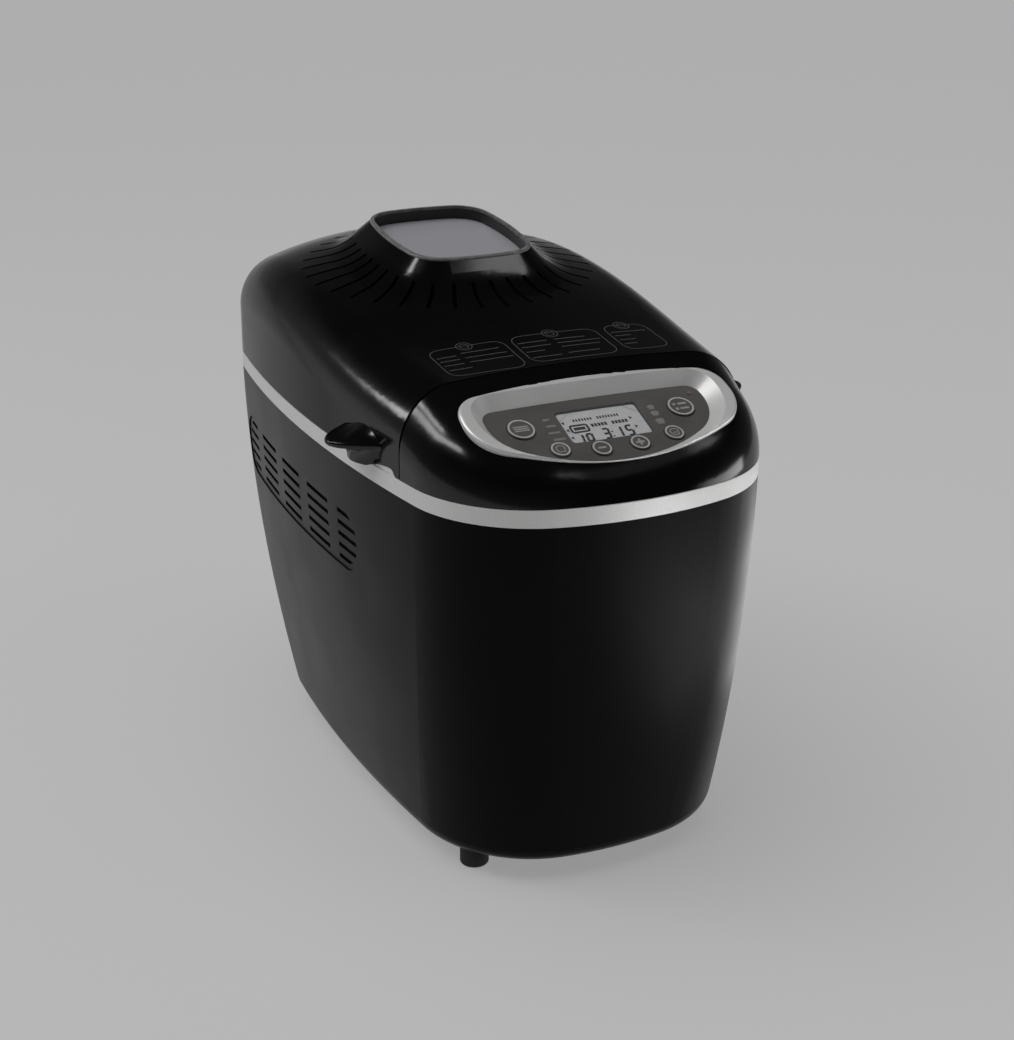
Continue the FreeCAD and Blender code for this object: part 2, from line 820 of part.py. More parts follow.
# Board under the panel carries one switch under each key
board_plan = plan(board_half_width, -board_lower, board_upper, side_bow_radius, panel_lower_bow,
                  side_bow_radius, panel_lower_corner - 6.0, 4.0)
board = prism(board_plan, -board_depth - board_thickness, -board_depth)
stem_end = -board_depth + 2.4
switches = []
for u, w, r in key_spots.values():
    h = switch_half_width
    switches.append(box(u - h, u + h, w - h, w + h, -board_depth, stem_end - key_travel - switch_gap))
module_foot = prism(grow(display_plan, -2.0), -board_depth, module_top - display_module_thickness)
board = fuse([board, module_foot] + switches)
save("control_board", on_panel(board))

# Keys: a domed cap, a flange under the panel and a stem down to the switch
for name, (u, w, r) in key_spots.items():
    cap = rod(r, -panel_thickness - key_flange_thickness, key_rise, u, w)
    cap = cap.makeFillet(key_dome, flat_edges(cap, key_rise))
    flange_top = -panel_thickness - 0.4
    flange = rod(r + key_flange, flange_top - key_flange_thickness, flange_top, u, w)
    stem = rod(key_stem_radius, stem_end, flange_top, u, w)
    save(name, on_panel(fuse([cap, flange, stem])))


# Viewing window: a rim with a sleeve down into the lid, in its own tilted plane
def on_window(shape):
    out = shape.copy()
    out.rotate(V(0, 0, 0), V(1, 0, 0), window_tilt)
    out.translate(V(0, window_y, window_z))
    return out


window_plan = plan(window_half_width, -window_half_length, window_half_length, window_bow_radius,
                   window_bow_radius, window_bow_radius, window_corner, window_corner)
lid_outer = dome(0.0, False)
lid_inner = dome(lid_wall, False)
rim_plan = grow(window_plan, frame_rim_width)
seat_plan = grow(window_plan, pane_rebate)
bore_plan = grow(window_plan, sleeve_wall)
rim = prism(rim_plan, 0.0, frame_rim_rise)
rim = rim.makeFillet(frame_rim_round, flat_edges(rim, frame_rim_rise))
sleeve = prism(grow(bore_plan, -fit_gap), -sleeve_depth, 0.0)
hole = prism(window_plan, -far, far)
seat = prism(seat_plan, -sleeve_depth - 1.0, -pane_depth)
window_frame = fuse([rim, sleeve]).cut([hole, seat])
save("window_frame", on_window(window_frame))
pane = prism(grow(seat_plan, -fit_gap), -pane_depth - pane_thickness, -pane_depth)
save("window_pane", on_window(pane))

# Lid shell with a flared collar round the window, grips, louvres and the notch for the hinge
spread = 1.0 / math.tan(math.radians(collar_angle))
inward = lid_wall / math.sin(math.radians(collar_angle))


def collar_cone(offset, top, depth):
    # Cone round the window: as wide as the rim at the window plane, wider with depth
    return on_window(Part.makeLoft([outline(grow(rim_plan, depth * spread + offset), -depth),
                                    outline(grow(rim_plan, top * spread + offset), -top)], True, True))


def foot_edges(shape):
    # Edges where the collar meets the crown of the lid
    found = []
    for e in shape.Edges:
        p = e.valueAt(0.5 * (e.FirstParameter + e.LastParameter))
        out = math.hypot(p.x / window_half_width, (p.y - window_y) / window_half_length)
        drop = window_z + (p.y - window_y) * math.tan(math.radians(window_tilt)) - p.z
        if out < 1.9 and 0.3 * collar_depth < drop < collar_depth:
            found.append(e)
    return found


bore_depth = (inward - frame_rim_width + sleeve_wall) / spread
lid_top = fuse([lid_outer, collar_cone(0.0, 0.0, collar_depth)])
lid_top = lid_top.makeFillet(collar_blend, foot_edges(lid_top))
front_stop = seam_drum(seam_gap)
lid = lid_top.cut(front_stop).common(above(lid_bottom))
cavity = lid_inner.cut(seam_drum(seam_gap + lid_wall))
lid = lid.cut([cavity, collar_cone(-inward, bore_depth, collar_depth - 7.0)])
root_x = band_half_width - shell_wall - 6.0
tip_half = 0.5 * grip_thickness


def grip_section(y, swell, drop):
    # Flared lip in cross-section: hollow above and below, round at the tip, on a heel at the foot
    xt = root_x + swell * (band_half_width + grip_reach - tip_half - root_x)
    xd = root_x + swell * (band_half_width + grip_heel - root_x)
    zt = grip_tip_z + tip_half + swell * (grip_top - grip_tip_z - tip_half)
    zb = grip_tip_z - tip_half + drop * (lid_bottom - 1.0 - grip_tip_z + tip_half)
    hollow = swell * grip_hollow
    a = V(root_x, y, zt)
    b = V(xt, y, grip_tip_z + tip_half)
    c = V(xt, y, grip_tip_z - tip_half)
    d = V(xd, y, zb)
    e = V(root_x, y, zb)
    up = V(0.5 * (a.x + b.x) - hollow, y, 0.5 * (a.z + b.z) - hollow)
    low = V(0.5 * (c.x + d.x) - drop * hollow, y, 0.5 * (c.z + d.z) + 0.8 * drop * hollow)
    tip = V(xt + tip_half, y, grip_tip_z)
    return Part.Wire([Part.Arc(a, up, b).toShape(), Part.Arc(b, tip, c).toShape(),
                      Part.Arc(c, low, d).toShape(), Part.makeLine(d, e), Part.makeLine(e, a)])


wires = []
for i in range(grip_sections):
    t = i / (grip_sections - 1.0)
    # The lip flares out quickly in front, where the cheek under it ends steeply, and runs out to the rear
    flare = min(1.0, t / grip_peak_share)
    fade = max(0.0, (t - grip_peak_share) / (1.0 - grip_peak_share))
    fall = 0.06 + 0.94 * math.cos(0.5 * math.pi * fade)
    cheek = min(1.0, flare / grip_cheek_share)
    swell = (0.06 + 0.94 * math.sin(0.5 * math.pi * flare)) * fall
    drop = (0.06 + 0.94 * math.sin(0.5 * math.pi * cheek)) * fall
    wires.append(grip_section(grip_front_y + (grip_rear_y - grip_front_y) * t, swell, drop))
grip = Part.makeLoft(wires, True, False)
grip = grip.cut(lid_inner).common(above(lid_bottom))
lid = fuse([lid, grip, mirror_x(grip)])
cuts = [on_window(prism(bore_plan, -far, far)), scallop(0.0, band_bottom)]
notch = box(-hinge_notch_half_width, hinge_notch_half_width,
            hinge_y - hinge_block_radius - hinge_notch_clearance, far, band_bottom, hinge_notch_top)
cuts.append(notch)
louvre_plan = grow(rim_plan, louvre_start)
louvre_low = -2.0 * collar_depth
for i in range(louvre_count):
    ang = 2.0 * math.pi * (i + 0.5) / louvre_count
    ca = math.cos(ang)
    sa = math.sin(ang)
    outer_r = 1.0 / math.hypot(ca / louvre_outer_half_width, sa / louvre_outer_half_length)
    bar = box(0.0, outer_r, -0.5 * louvre_width, 0.5 * louvre_width, louvre_low, collar_depth)
    bar.rotate(V(0, 0, 0), V(0, 0, 1), math.degrees(ang))
    cuts.append(on_window(bar.cut(prism(louvre_plan, -far, far))))
lid = lid.cut(cuts)
save("lid_shell", lid)

# Lid lining with the chimney to the window and the hinge arms
mouth = grow(chamber_plan, -liner_draft)
tub_mid = grow(mouth, -liner_draft)
roof_plan = plan(tub_mid[0] - liner_roof_inset, tub_mid[1], tub_mid[2],
                 chamber_bow_radius, chamber_bow_radius, chamber_bow_radius,
                 chamber_corner - liner_draft, chamber_corner - liner_draft)


def liner_tub(offset, z0):
    wires = [outline(grow(mouth, offset), z0), outline(grow(tub_mid, offset), liner_shoulder_z + offset),
             outline(grow(roof_plan, offset), liner_roof_z + offset)]
    return Part.makeLoft(wires, True, True)


chimney_plan = plan(chimney_half_width, -chimney_half_length, chimney_half_length, window_bow_radius,
                    window_bow_radius, window_bow_radius, window_corner, window_corner)


def chimney(offset, top):
    block = on_window(prism(grow(chimney_plan, offset), -window_z, top))
    return block.common(above(liner_roof_z - 5.0))


flange_z1 = liner_flange_z + liner_flange_thickness
flange = prism(grow(band_plan, -lid_wall - fit_gap), liner_flange_z, flange_z1)
flange = flange.cut(seam_drum(seam_gap + lid_wall + fit_gap))
rim_zone = prism(grow(band_plan, 1.0), band_bottom, liner_shoulder_z)
rim_zone = rim_zone.cut(prism(grow(band_plan, -band_wall - 1.0), band_bottom - 1.0, liner_shoulder_z + 1.0))
flange = flange.cut([notch, scallop(-1.0, band_bottom).common(rim_zone)])
chimney_top = -chimney_top_drop
skin = fuse([flange, liner_tub(liner_wall, liner_flange_z), chimney(liner_wall, chimney_top)])
hollow = [liner_tub(0.0, liner_flange_z - 1.0), chimney(0.0, chimney_top + 10.0)]
arms = []
for sx in (-1.0, 1.0):
    x0 = sx * hinge_arm_x - 0.5 * hinge_arm_width
    x1 = sx * hinge_arm_x + 0.5 * hinge_arm_width
    knuckle = Part.makeCylinder(hinge_arm_radius, hinge_arm_width, V(x0, hinge_y, hinge_z), V(1, 0, 0))
    strap = box(x0, x1, chamber_rear + 20.0, hinge_y, flange_z1, hinge_z + hinge_arm_radius)
    bore = Part.makeCylinder(hinge_pin_radius + hinge_running_gap, hinge_arm_width + 2.0,
                             V(x0 - 1.0, hinge_y, hinge_z), V(1, 0, 0))
    arms.append(knuckle.fuse(strap).cut(bore))
liner = fuse([skin.cut(hollow)] + arms)
save("lid_liner", liner)
inner_pane = prism(grow(chimney_plan, -fit_gap), chimney_top - inner_pane_thickness, chimney_top)
save("inner_pane", on_window(inner_pane))

# Hinge block on the deck, with pockets for the arms, and the pin through it
yb0 = hinge_y - hinge_block_radius
block_half = hinge_notch_half_width - hinge_notch_clearance
lower = box(-block_half, block_half, yb0, far, deck_top, band_top)
lower = lower.common(prism(grow(band_plan, -band_wall - fit_gap), deck_top, band_top))
upper = box(-block_half, block_half, yb0, hinge_y + hinge_block_radius, band_top, hinge_z)
drum = Part.makeCylinder(hinge_block_radius, 2.0 * block_half, V(-block_half, hinge_y, hinge_z), V(1, 0, 0))
upper = upper.fuse(drum).common(prism(band_plan, band_top, far))
block = fuse([lower, upper])
cuts = []
for sx in (-1.0, 1.0):
    x0 = sx * hinge_arm_x - 0.5 * hinge_arm_width - hinge_arm_gap
    x1 = sx * hinge_arm_x + 0.5 * hinge_arm_width + hinge_arm_gap
    cuts.append(box(x0, x1, yb0 - 1.0, half_depth + 5.0, hinge_z - hinge_arm_radius - 1.0, hinge_z + 20.0))
cuts.append(Part.makeCylinder(hinge_pin_radius, 2.0 * hinge_pin_half_length,
                              V(-hinge_pin_half_length, hinge_y, hinge_z), V(1, 0, 0)))
save("hinge_block", block.cut(cuts))
pin = Part.makeCylinder(hinge_pin_radius, 2.0 * hinge_pin_half_length,
                        V(-hinge_pin_half_length, hinge_y, hinge_z), V(1, 0, 0))
save("hinge_pin", pin)

# Baking chamber: a deep tub with a flange under the deck
tub = prism(chamber_plan, chamber_floor_z, band_bottom)
tub_flange = prism(grow(chamber_plan, chamber_flange), band_bottom - chamber_wall, band_bottom)
chamber = fuse([tub, tub_flange]).cut(prism(grow(chamber_plan, -chamber_wall),
                                            chamber_floor_z + chamber_wall, band_bottom + 1.0))
heater_y0 = heater_front - heater_tail
cuts = []
for y in (shaft_front_y, shaft_rear_y):
    cuts.append(rod(bearing_radius, chamber_floor_z - 1.0, chamber_floor_z + chamber_wall + 1.0, 0.0, y))
for sx in (-1.0, 1.0):
    cuts.append(Part.makeCylinder(insulator_radius, 8.0,
                                  V(sx * heater_gap_half, chamber_front - 4.0, heater_z), V(0, 1, 0)))
cuts.append(Part.makeCylinder(sensor_radius, 8.0, V(sensor_x, chamber_front - 4.0, sensor_z), V(0, 1, 0)))
chamber = chamber.cut(cuts)
save("baking_chamber", chamber)

# Pan supports: folded brackets on the chamber floor
floor_top = chamber_floor_z + chamber_wall
supports = []
for y in (pan_front + support_inset, pan_rear - support_inset):
    outer_box = box(-support_half_width, support_half_width,
                    y - 0.5 * support_depth, y + 0.5 * support_depth, floor_top, pan_floor_z)
    inner_box = box(-support_half_width + support_wall, support_half_width - support_wall,
                    y - support_depth, y + support_depth, floor_top, pan_floor_z - support_wall)
    supports.append(outer_box.cut(inner_box))
save("pan_supports", Part.makeCompound(supports))


# Bread pan: tapered, with a rolled rim and ears for the bail
pan_plan = plan(pan_half_width, pan_front, pan_rear, pan_bow_radius, pan_bow_radius, pan_bow_radius,
                pan_corner, pan_corner)
pan_outer = Part.makeLoft([outline(grow(pan_plan, -pan_draft), pan_floor_z),
                           outline(pan_plan, pan_rim_z)], True, True)
pan_outer = pan_outer.makeFillet(pan_edge_round, flat_edges(pan_outer, pan_floor_z))
pan_inner = Part.makeLoft([outline(grow(pan_plan, -pan_draft - pan_wall), pan_floor_z + pan_wall),
                           outline(grow(pan_plan, -pan_wall), pan_rim_z + 1.0)], True, True)
pan_inner = pan_inner.makeFillet(pan_edge_round - pan_wall, flat_edges(pan_inner, pan_floor_z + pan_wall))
rim = prism(grow(pan_plan, pan_rim_width), pan_rim_z - pan_rim_thickness, pan_rim_z)
rim = rim.makeFillet(0.45 * pan_rim_thickness, flat_edges(rim, pan_rim_z))
ear_front_y = pan_front - bail_ear_thickness
ear_rear_y = pan_rear + bail_ear_thickness
ears = []
for y0, y1 in ((ear_front_y, pan_front + pan_draft), (pan_rear - pan_draft, ear_rear_y)):
    ears.append(box(-0.5 * bail_ear_width, 0.5 * bail_ear_width, y0, y1,
                    bail_pivot_z - 0.5 * bail_ear_width, pan_rim_z - 0.5 * pan_rim_thickness))
studs = []
stud_length = bail_eye_width + 2.0 * bail_side_gap
studs.append(Part.makeCylinder(bail_pivot_radius, stud_length + bail_ear_thickness,
                               V(0, pan_front - stud_length - bail_ear_thickness, bail_pivot_z), V(0, 1, 0)))
studs.append(Part.makeCylinder(bail_pivot_radius, stud_length + bail_ear_thickness,
                               V(0, pan_rear, bail_pivot_z), V(0, 1, 0)))
pan = fuse([pan_outer, rim] + ears + studs).cut(pan_inner)
cuts = []
for y in (shaft_front_y, shaft_rear_y):
    cuts.append(rod(bush_radius, pan_floor_z - 1.0, pan_floor_z + pan_wall + 1.0, 0.0, y))
pan = pan.cut(cuts)
save("bread_pan", pan)

# Bushes carry the kneading shafts through the pan floor
bushes = []
for y in (shaft_front_y, shaft_rear_y):
    body = rod(bush_radius, pan_floor_z - bush_drop, pan_floor_z + pan_wall + bush_rise, 0.0, y)
    collar = rod(bush_flange_radius, pan_floor_z - bush_flange_thickness, pan_floor_z, 0.0, y)
    bore = rod(shaft_radius + shaft_running_gap, pan_floor_z - bush_drop - 1.0,
               pan_floor_z + pan_wall + bush_rise + 1.0, 0.0, y)
    bushes.append(fuse([body, collar]).cut(bore))
save("pan_bushes", Part.makeCompound(bushes))

# Bail: a wire that lies along the right edge of the pan at rest
bail_front_y = pan_front - bail_ear_thickness - bail_side_gap - 0.5 * bail_eye_width
bail_rear_y = pan_rear + bail_ear_thickness + bail_side_gap + 0.5 * bail_eye_width
rest_height = pan_rim_z + bail_wire_radius + bail_rest_gap - bail_pivot_z
bail_angle = math.degrees(math.asin(rest_height / bail_arm))
k = bail_bend_radius
disc = Part.Face(Part.Wire(Part.makeCircle(bail_wire_radius, V(bail_arm, bail_front_y + k, 0), V(0, 1, 0))))
runs = [disc.extrude(V(0, bail_rear_y - bail_front_y - 2.0 * k, 0))]
for y, turn in ((bail_front_y, 1.0), (bail_rear_y, -1.0)):
    bend = disc.copy()
    bend.translate(V(0, y + turn * k - bail_front_y - k, 0))
    runs.append(bend.revolve(V(bail_arm - k, y + turn * k, 0), V(0, 0, 1), -90.0 * turn))
    runs.append(Part.makeCylinder(bail_wire_radius, bail_arm - k - bail_eye_radius + 1.0,
                                  V(bail_eye_radius - 1.0, y, 0), V(1, 0, 0)))
wire_body = fuse(runs)
eyes = []
bores = []
for y in (bail_front_y, bail_rear_y):
    eyes.append(Part.makeCylinder(bail_eye_radius, bail_eye_width,
                                  V(0, y - 0.5 * bail_eye_width, 0), V(0, 1, 0)))
    bores.append(Part.makeCylinder(bail_pivot_radius + bail_running_gap, 4.0 * bail_wire_radius,
                                   V(0, y - 2.0 * bail_wire_radius, 0), V(0, 1, 0)))
bail = fuse([wire_body] + eyes).cut(bores)
bail.rotate(V(0, 0, 0), V(0, 1, 0), -bail_angle)
bail.translate(V(0, 0, bail_pivot_z))
save("pan_bail", bail)

# Kneading paddles on their shafts; a flat on the shaft keys the hub
hub_z0 = pan_floor_z + pan_wall + bush_rise + paddle_gap
shaft_z1 = hub_z0 + paddle_hub_height - 3.0
dog_z1 = pan_floor_z - bush_drop - 0.5
dog_z0 = dog_z1 - dog_thickness
for name, y, turn in (("front", shaft_front_y, 90.0), ("rear", shaft_rear_y, 90.0)):
    key_cut = box(shaft_radius - paddle_flat, shaft_radius + 2.0, -10.0, 10.0, hub_z0, shaft_z1 + 1.0)
    turned = key_cut.copy()
    turned.rotate(V(0, 0, 0), V(0, 0, 1), turn)
    shaft = rod(shaft_radius, dog_z0, shaft_z1).cut(turned)
    dog_bar = box(-0.5 * dog_width, 0.5 * dog_width, -far, far, 0.0, far)
    dog = rod(dog_radius, dog_z0, dog_z1).common(dog_bar)
    shaft = fuse([shaft, dog])
    shaft.translate(V(0, y, 0))
    save("knead_shaft_" + name, shaft)
    hub = Part.makeCone(paddle_hub_radius, 0.82 * paddle_hub_radius, paddle_hub_height,
                        V(0, 0, hub_z0), V(0, 0, 1))
    reach_x = paddle_length
    low = Part.Face(Part.makePolygon([V(0, 0, hub_z0), V(reach_x, 0, hub_z0),
                                      V(reach_x, 0, hub_z0 + 0.45 * paddle_height),
                                      V(0.45 * reach_x, 0, hub_z0 + paddle_height),
                                      V(0, 0, hub_z0 + 0.8 * paddle_height), V(0, 0, hub_z0)]))
    blade = low.extrude(V(0, paddle_thickness, 0))
    blade.translate(V(0, -0.5 * paddle_thickness, 0))
    tall = [e for e in blade.Edges if e.BoundBox.YLength > 0.5 and e.BoundBox.XMin > 1.0]
    blade = blade.makeFillet(5.0, tall)
    bore = rod(shaft_radius, hub_z0 - 1.0, shaft_z1).cut(key_cut)
    paddle = fuse([hub, blade]).cut(bore)
    paddle.rotate(V(0, 0, 0), V(0, 0, 1), turn)
    paddle.translate(V(0, y, 0))
    save("paddle_" + name, paddle)

# Bearings under the chamber floor
bearings = []
bearing_z0 = chamber_floor_z - bearing_drop
for y in (shaft_front_y, shaft_rear_y):
    barrel = rod(bearing_radius, bearing_z0, floor_top, 0.0, y)
    collar = rod(bearing_flange_radius, chamber_floor_z - bearing_flange_thickness, chamber_floor_z, 0.0, y)
    bore = rod(shaft_radius + shaft_running_gap, bearing_z0 - 1.0, floor_top + 1.0, 0.0, y)
    bearings.append(fuse([barrel, collar]).cut(bore))
save("drive_bearings", Part.makeCompound(bearings))


# Driven shafts: prongs above the chamber floor, pulleys below
def pulley(radius, z0, spokes):
    # Rim with two flanges, a thin web and a hub; large ones are lightened between the spokes
    z1 = z0 + belt_width
    body = rod(radius, z0, z1)
    for z in (z0 - pulley_flange, z1):
        body = body.fuse(rod(radius + pulley_flange_rise, z, z + pulley_flange))
    body = body.removeSplitter()
    if not spokes:
        return body
    hub_r = 3.0 * shaft_radius
    rim_r = radius - 6.0
    mid = 0.5 * (z0 + z1)
    for lo, hi in ((z0 - pulley_flange - 1.0, mid - 0.5 * pulley_web),
                   (mid + 0.5 * pulley_web, z1 + pulley_flange + 1.0)):
        body = body.cut(rod(rim_r, lo, hi).cut(rod(hub_r, lo, hi)))
    holes = []
    for i in range(pulley_spokes):
        ang = 2.0 * math.pi * i / pulley_spokes
        rr = 0.5 * (hub_r + rim_r)
        holes.append(rod(0.32 * (rim_r - hub_r), z0 - 5.0, z1 + 5.0, rr * math.cos(ang), rr * math.sin(ang)))
    return body.cut(holes)


plate_z0 = floor_top + 0.8
plate_z1 = plate_z0 + drive_plate_thickness
prong_in = 0.5 * dog_width + dog_gap
shaft_low = lower_belt_z - pulley_flange
for name, y in (("front", shaft_front_y), ("rear", shaft_rear_y)):
    z0 = shaft_low if name == "front" else upper_belt_z - pulley_flange
    shaft = rod(shaft_radius, z0, plate_z1)
    plate = rod(drive_plate_radius, plate_z0, plate_z1)
    ring = rod(drive_plate_radius, plate_z1, plate_z1 + prong_height)
    ring = ring.cut(rod(drive_plate_radius - prong_width, plate_z1 - 1.0, plate_z1 + prong_height + 1.0))
    prongs = ring.common(fuse([box(prong_in, far, -prong_width, prong_width, 0.0, far),
                               box(-far, -prong_in, -prong_width, prong_width, 0.0, far)]))
    head = fuse([shaft, plate, prongs])
    head.translate(V(0, y, 0))
    save("drive_shaft_" + name, head)
    bore = rod(shaft_radius, 0.0, 200.0)
    wheels = [pulley(twin_pulley_radius, upper_belt_z, False)]
    if name == "front":
        wheels.append(pulley(large_pulley_radius, lower_belt_z, True))
        wheels.append(rod(3.0 * shaft_radius, lower_belt_z - pulley_flange, upper_belt_z + belt_width))
    group = fuse(wheels).cut(bore) if len(wheels) > 1 else wheels[0].cut(bore)
    group.translate(V(0, y, 0))
    save("pulley_" + name, group)


# Belts: flat loops round two pulleys, tangent lines between the arcs
def belt(y1, r1, y2, r2, z0):
    def loop(extra):
        a = r1 + extra
        b = r2 + extra
        d = y2 - y1
        lean = math.asin((a - b) / d)
        c = math.cos(lean)
        s = math.sin(lean)
        f1 = V(a * c, y1 + a * s, z0)
        f2 = V(b * c, y2 + b * s, z0)
        g1 = V(-f1.x, f1.y, z0)
        g2 = V(-f2.x, f2.y, z0)
        wire = Part.Wire([Part.makeLine(f1, f2), Part.Arc(f2, V(0, y2 + b, z0), g2).toShape(),
                          Part.makeLine(g2, g1), Part.Arc(g1, V(0, y1 - a, z0), f1).toShape()])
        return Part.Face(wire).extrude(V(0, 0, belt_width - 2.0 * belt_running_gap))
    out = loop(belt_running_gap + belt_thickness).cut(loop(belt_running_gap))
    out.translate(V(0, 0, belt_running_gap))
    return out


save("belt_lower", belt(motor_y, motor_pulley_radius, shaft_front_y, large_pulley_radius, lower_belt_z))
save("belt_upper", belt(shaft_front_y, twin_pulley_radius, shaft_rear_y, twin_pulley_radius, upper_belt_z))

# Motor on a folded bracket that stands on the base plate
can = rod(motor_radius, motor_bottom, motor_top, 0.0, motor_y)
can = can.makeFillet(4.0, flat_edges(can, motor_top) + flat_edges(can, motor_bottom))
ribs = []
for i in range(motor_rib_count):
    ang = 2.0 * math.pi * i / motor_rib_count
    slot = box(motor_radius - 2.0, motor_radius + 2.0, -2.0, 2.0, motor_bottom + 12.0, motor_top - 12.0)
    slot.rotate(V(0, 0, 0), V(0, 0, 1), math.degrees(ang))
    slot.translate(V(0, motor_y, 0))
    ribs.append(slot)
cap = rod(motor_cap_radius, motor_bottom - motor_cap_height, motor_top + motor_cap_height, 0.0, motor_y)
shaft_bore = rod(motor_shaft_radius + shaft_running_gap, 0.0,
                 motor_top + motor_cap_height - 2.0, 0.0, motor_y)
motor = fuse([can.cut(ribs), cap]).cut(shaft_bore)
save("motor", motor)
strap_z1 = motor_bottom
strap_z0 = strap_z1 - motor_bracket_thickness
floor_z = foot_height + floor_wall
bw = motor_bracket_half_width
strap = box(-bw, bw, motor_y - 0.5 * motor_foot_width, motor_y + 0.5 * motor_foot_width, strap_z0, strap_z1)
legs = []
for sx in (-1.0, 1.0):
    x0 = sx * bw if sx < 0 else bw - motor_bracket_thickness
    legs.append(box(x0, x0 + motor_bracket_thickness, motor_y - 0.5 * motor_foot_width,
                    motor_y + 0.5 * motor_foot_width, floor_z, strap_z1))
    f0 = -bw - 14.0 if sx < 0 else bw - motor_bracket_thickness
    legs.append(box(f0, f0 + 14.0 + motor_bracket_thickness, motor_y - 0.5 * motor_foot_width,
                    motor_y + 0.5 * motor_foot_width, floor_z, floor_z + motor_bracket_thickness))
bracket = fuse([strap] + legs).cut(rod(motor_cap_radius + 0.2, 0.0, 200.0, 0.0, motor_y))
plate_top = foot_height + floor_wall + base_plate_thickness + fit_gap
bracket = bracket.cut(prism(plate_plan, foot_height, plate_top))
save("motor_bracket", bracket)
rotor = rod(motor_shaft_radius, lower_belt_z - pulley_flange,
            motor_top + motor_cap_height - 3.0, 0.0, motor_y)
save("motor_shaft", rotor)
drive = pulley(motor_pulley_radius, lower_belt_z, False).cut(rod(motor_shaft_radius, 0.0, 200.0))
drive.translate(V(0, motor_y, 0))
save("motor_pulley", drive)


# Heating element: one bent tube round the foot of the pan, its two ends through the front wall
def heater_path():
    r = heater_corner
    c = r * (1.0 - math.sqrt(0.5))
    b = heater_bend
    bc = b * (1.0 - math.sqrt(0.5))
    a = heater_half_width
    yf = heater_front
    yb = heater_rear
    g = heater_gap_half
    z = heater_z
    out = []
    for sx in (1.0, -1.0):
        run = [
            Part.makeLine(V(sx * g, heater_y0, z), V(sx * g, yf - b, z)),
            Part.Arc(V(sx * g, yf - b, z), V(sx * (g + bc), yf - bc, z), V(sx * (g + b), yf, z)).toShape(),
            Part.makeLine(V(sx * (g + b), yf, z), V(sx * (a - r), yf, z)),
            Part.Arc(V(sx * (a - r), yf, z), V(sx * (a - c), yf + c, z), V(sx * a, yf + r, z)).toShape(),
            Part.makeLine(V(sx * a, yf + r, z), V(sx * a, yb - r, z)),
            Part.Arc(V(sx * a, yb - r, z), V(sx * (a - c), yb - c, z), V(sx * (a - r), yb, z)).toShape(),
            Part.makeLine(V(sx * (a - r), yb, z), V(0, yb, z)),
        ]
        out.append(run)
    return Part.Wire(out[0] + out[1][::-1])


path = heater_path()
start = V(heater_gap_half, heater_y0, heater_z)
ring = Part.Wire(Part.makeCircle(heater_radius, start, V(0, 1, 0)))
heater = path.makePipeShell([ring], True, False)
save("heating_element", heater)

# Ceramic bushes where the element passes the chamber wall
insulators = []
for sx in (-1.0, 1.0):
    sleeve = Part.makeCylinder(insulator_radius, insulator_length,
                               V(sx * heater_gap_half, chamber_front - insulator_length + chamber_wall,
                                 heater_z), V(0, 1, 0))
    bore = Part.makeCylinder(heater_radius + fit_gap, far,
                             V(sx * heater_gap_half, heater_y0 - 10.0, heater_z), V(0, 1, 0))
    insulators.append(sleeve.cut(bore))
save("element_insulators", Part.makeCompound(insulators))

# Clips hold the element off the chamber wall
clips = []
for sx in (-1.0, 1.0):
    for y in (shaft_front_y, shaft_rear_y):
        x_in = heater_half_width
        x_out = chamber_half_width - chamber_wall
        t = heater_clip_thickness
        arm = box(x_in, x_out, y - 0.5 * heater_clip_width, y + 0.5 * heater_clip_width,
                  heater_z - heater_radius - t, heater_z + heater_radius + t)
        tube = Part.makeCylinder(heater_radius + t, heater_clip_width,
                                 V(x_in, y - 0.5 * heater_clip_width, heater_z), V(0, 1, 0))
        room = box(x_in, x_out - t, y - 20.0, y + 20.0, heater_z - heater_radius, heater_z + heater_radius)
        bore = Part.makeCylinder(heater_radius, 60.0, V(x_in, y - 30.0, heater_z), V(0, 1, 0))
        clip = fuse([arm, tube]).cut([room, bore])
        back = box(x_out - t - 2.0, x_out + 5.0, y - 20.0, y + 20.0, heater_z - 10.0, heater_z + 10.0)
        clip = clip.cut(back.cut(prism(grow(chamber_plan, -chamber_wall), heater_z - 20.0, heater_z + 20.0)))
        clips.append(clip if sx > 0 else mirror_x(clip))
save("element_clips", Part.makeCompound(clips))

# Temperature sensor through the chamber wall
probe = Part.makeCylinder(sensor_radius, sensor_reach + sensor_body,
                          V(sensor_x, chamber_front - sensor_body, sensor_z), V(0, 1, 0))
tip = [e for e in probe.Edges if e.BoundBox.YMin > chamber_front + sensor_reach - 0.1]
probe = probe.makeFillet(0.6 * sensor_radius, tip)
collar = Part.makeCylinder(sensor_flange_radius, sensor_body - 5.0,
                           V(sensor_x, chamber_front - sensor_body + 5.0, sensor_z), V(0, 1, 0))
collar = collar.cut(prism(chamber_plan, sensor_z - 30.0, sensor_z + 30.0))
save("temperature_sensor", fuse([probe, collar]))

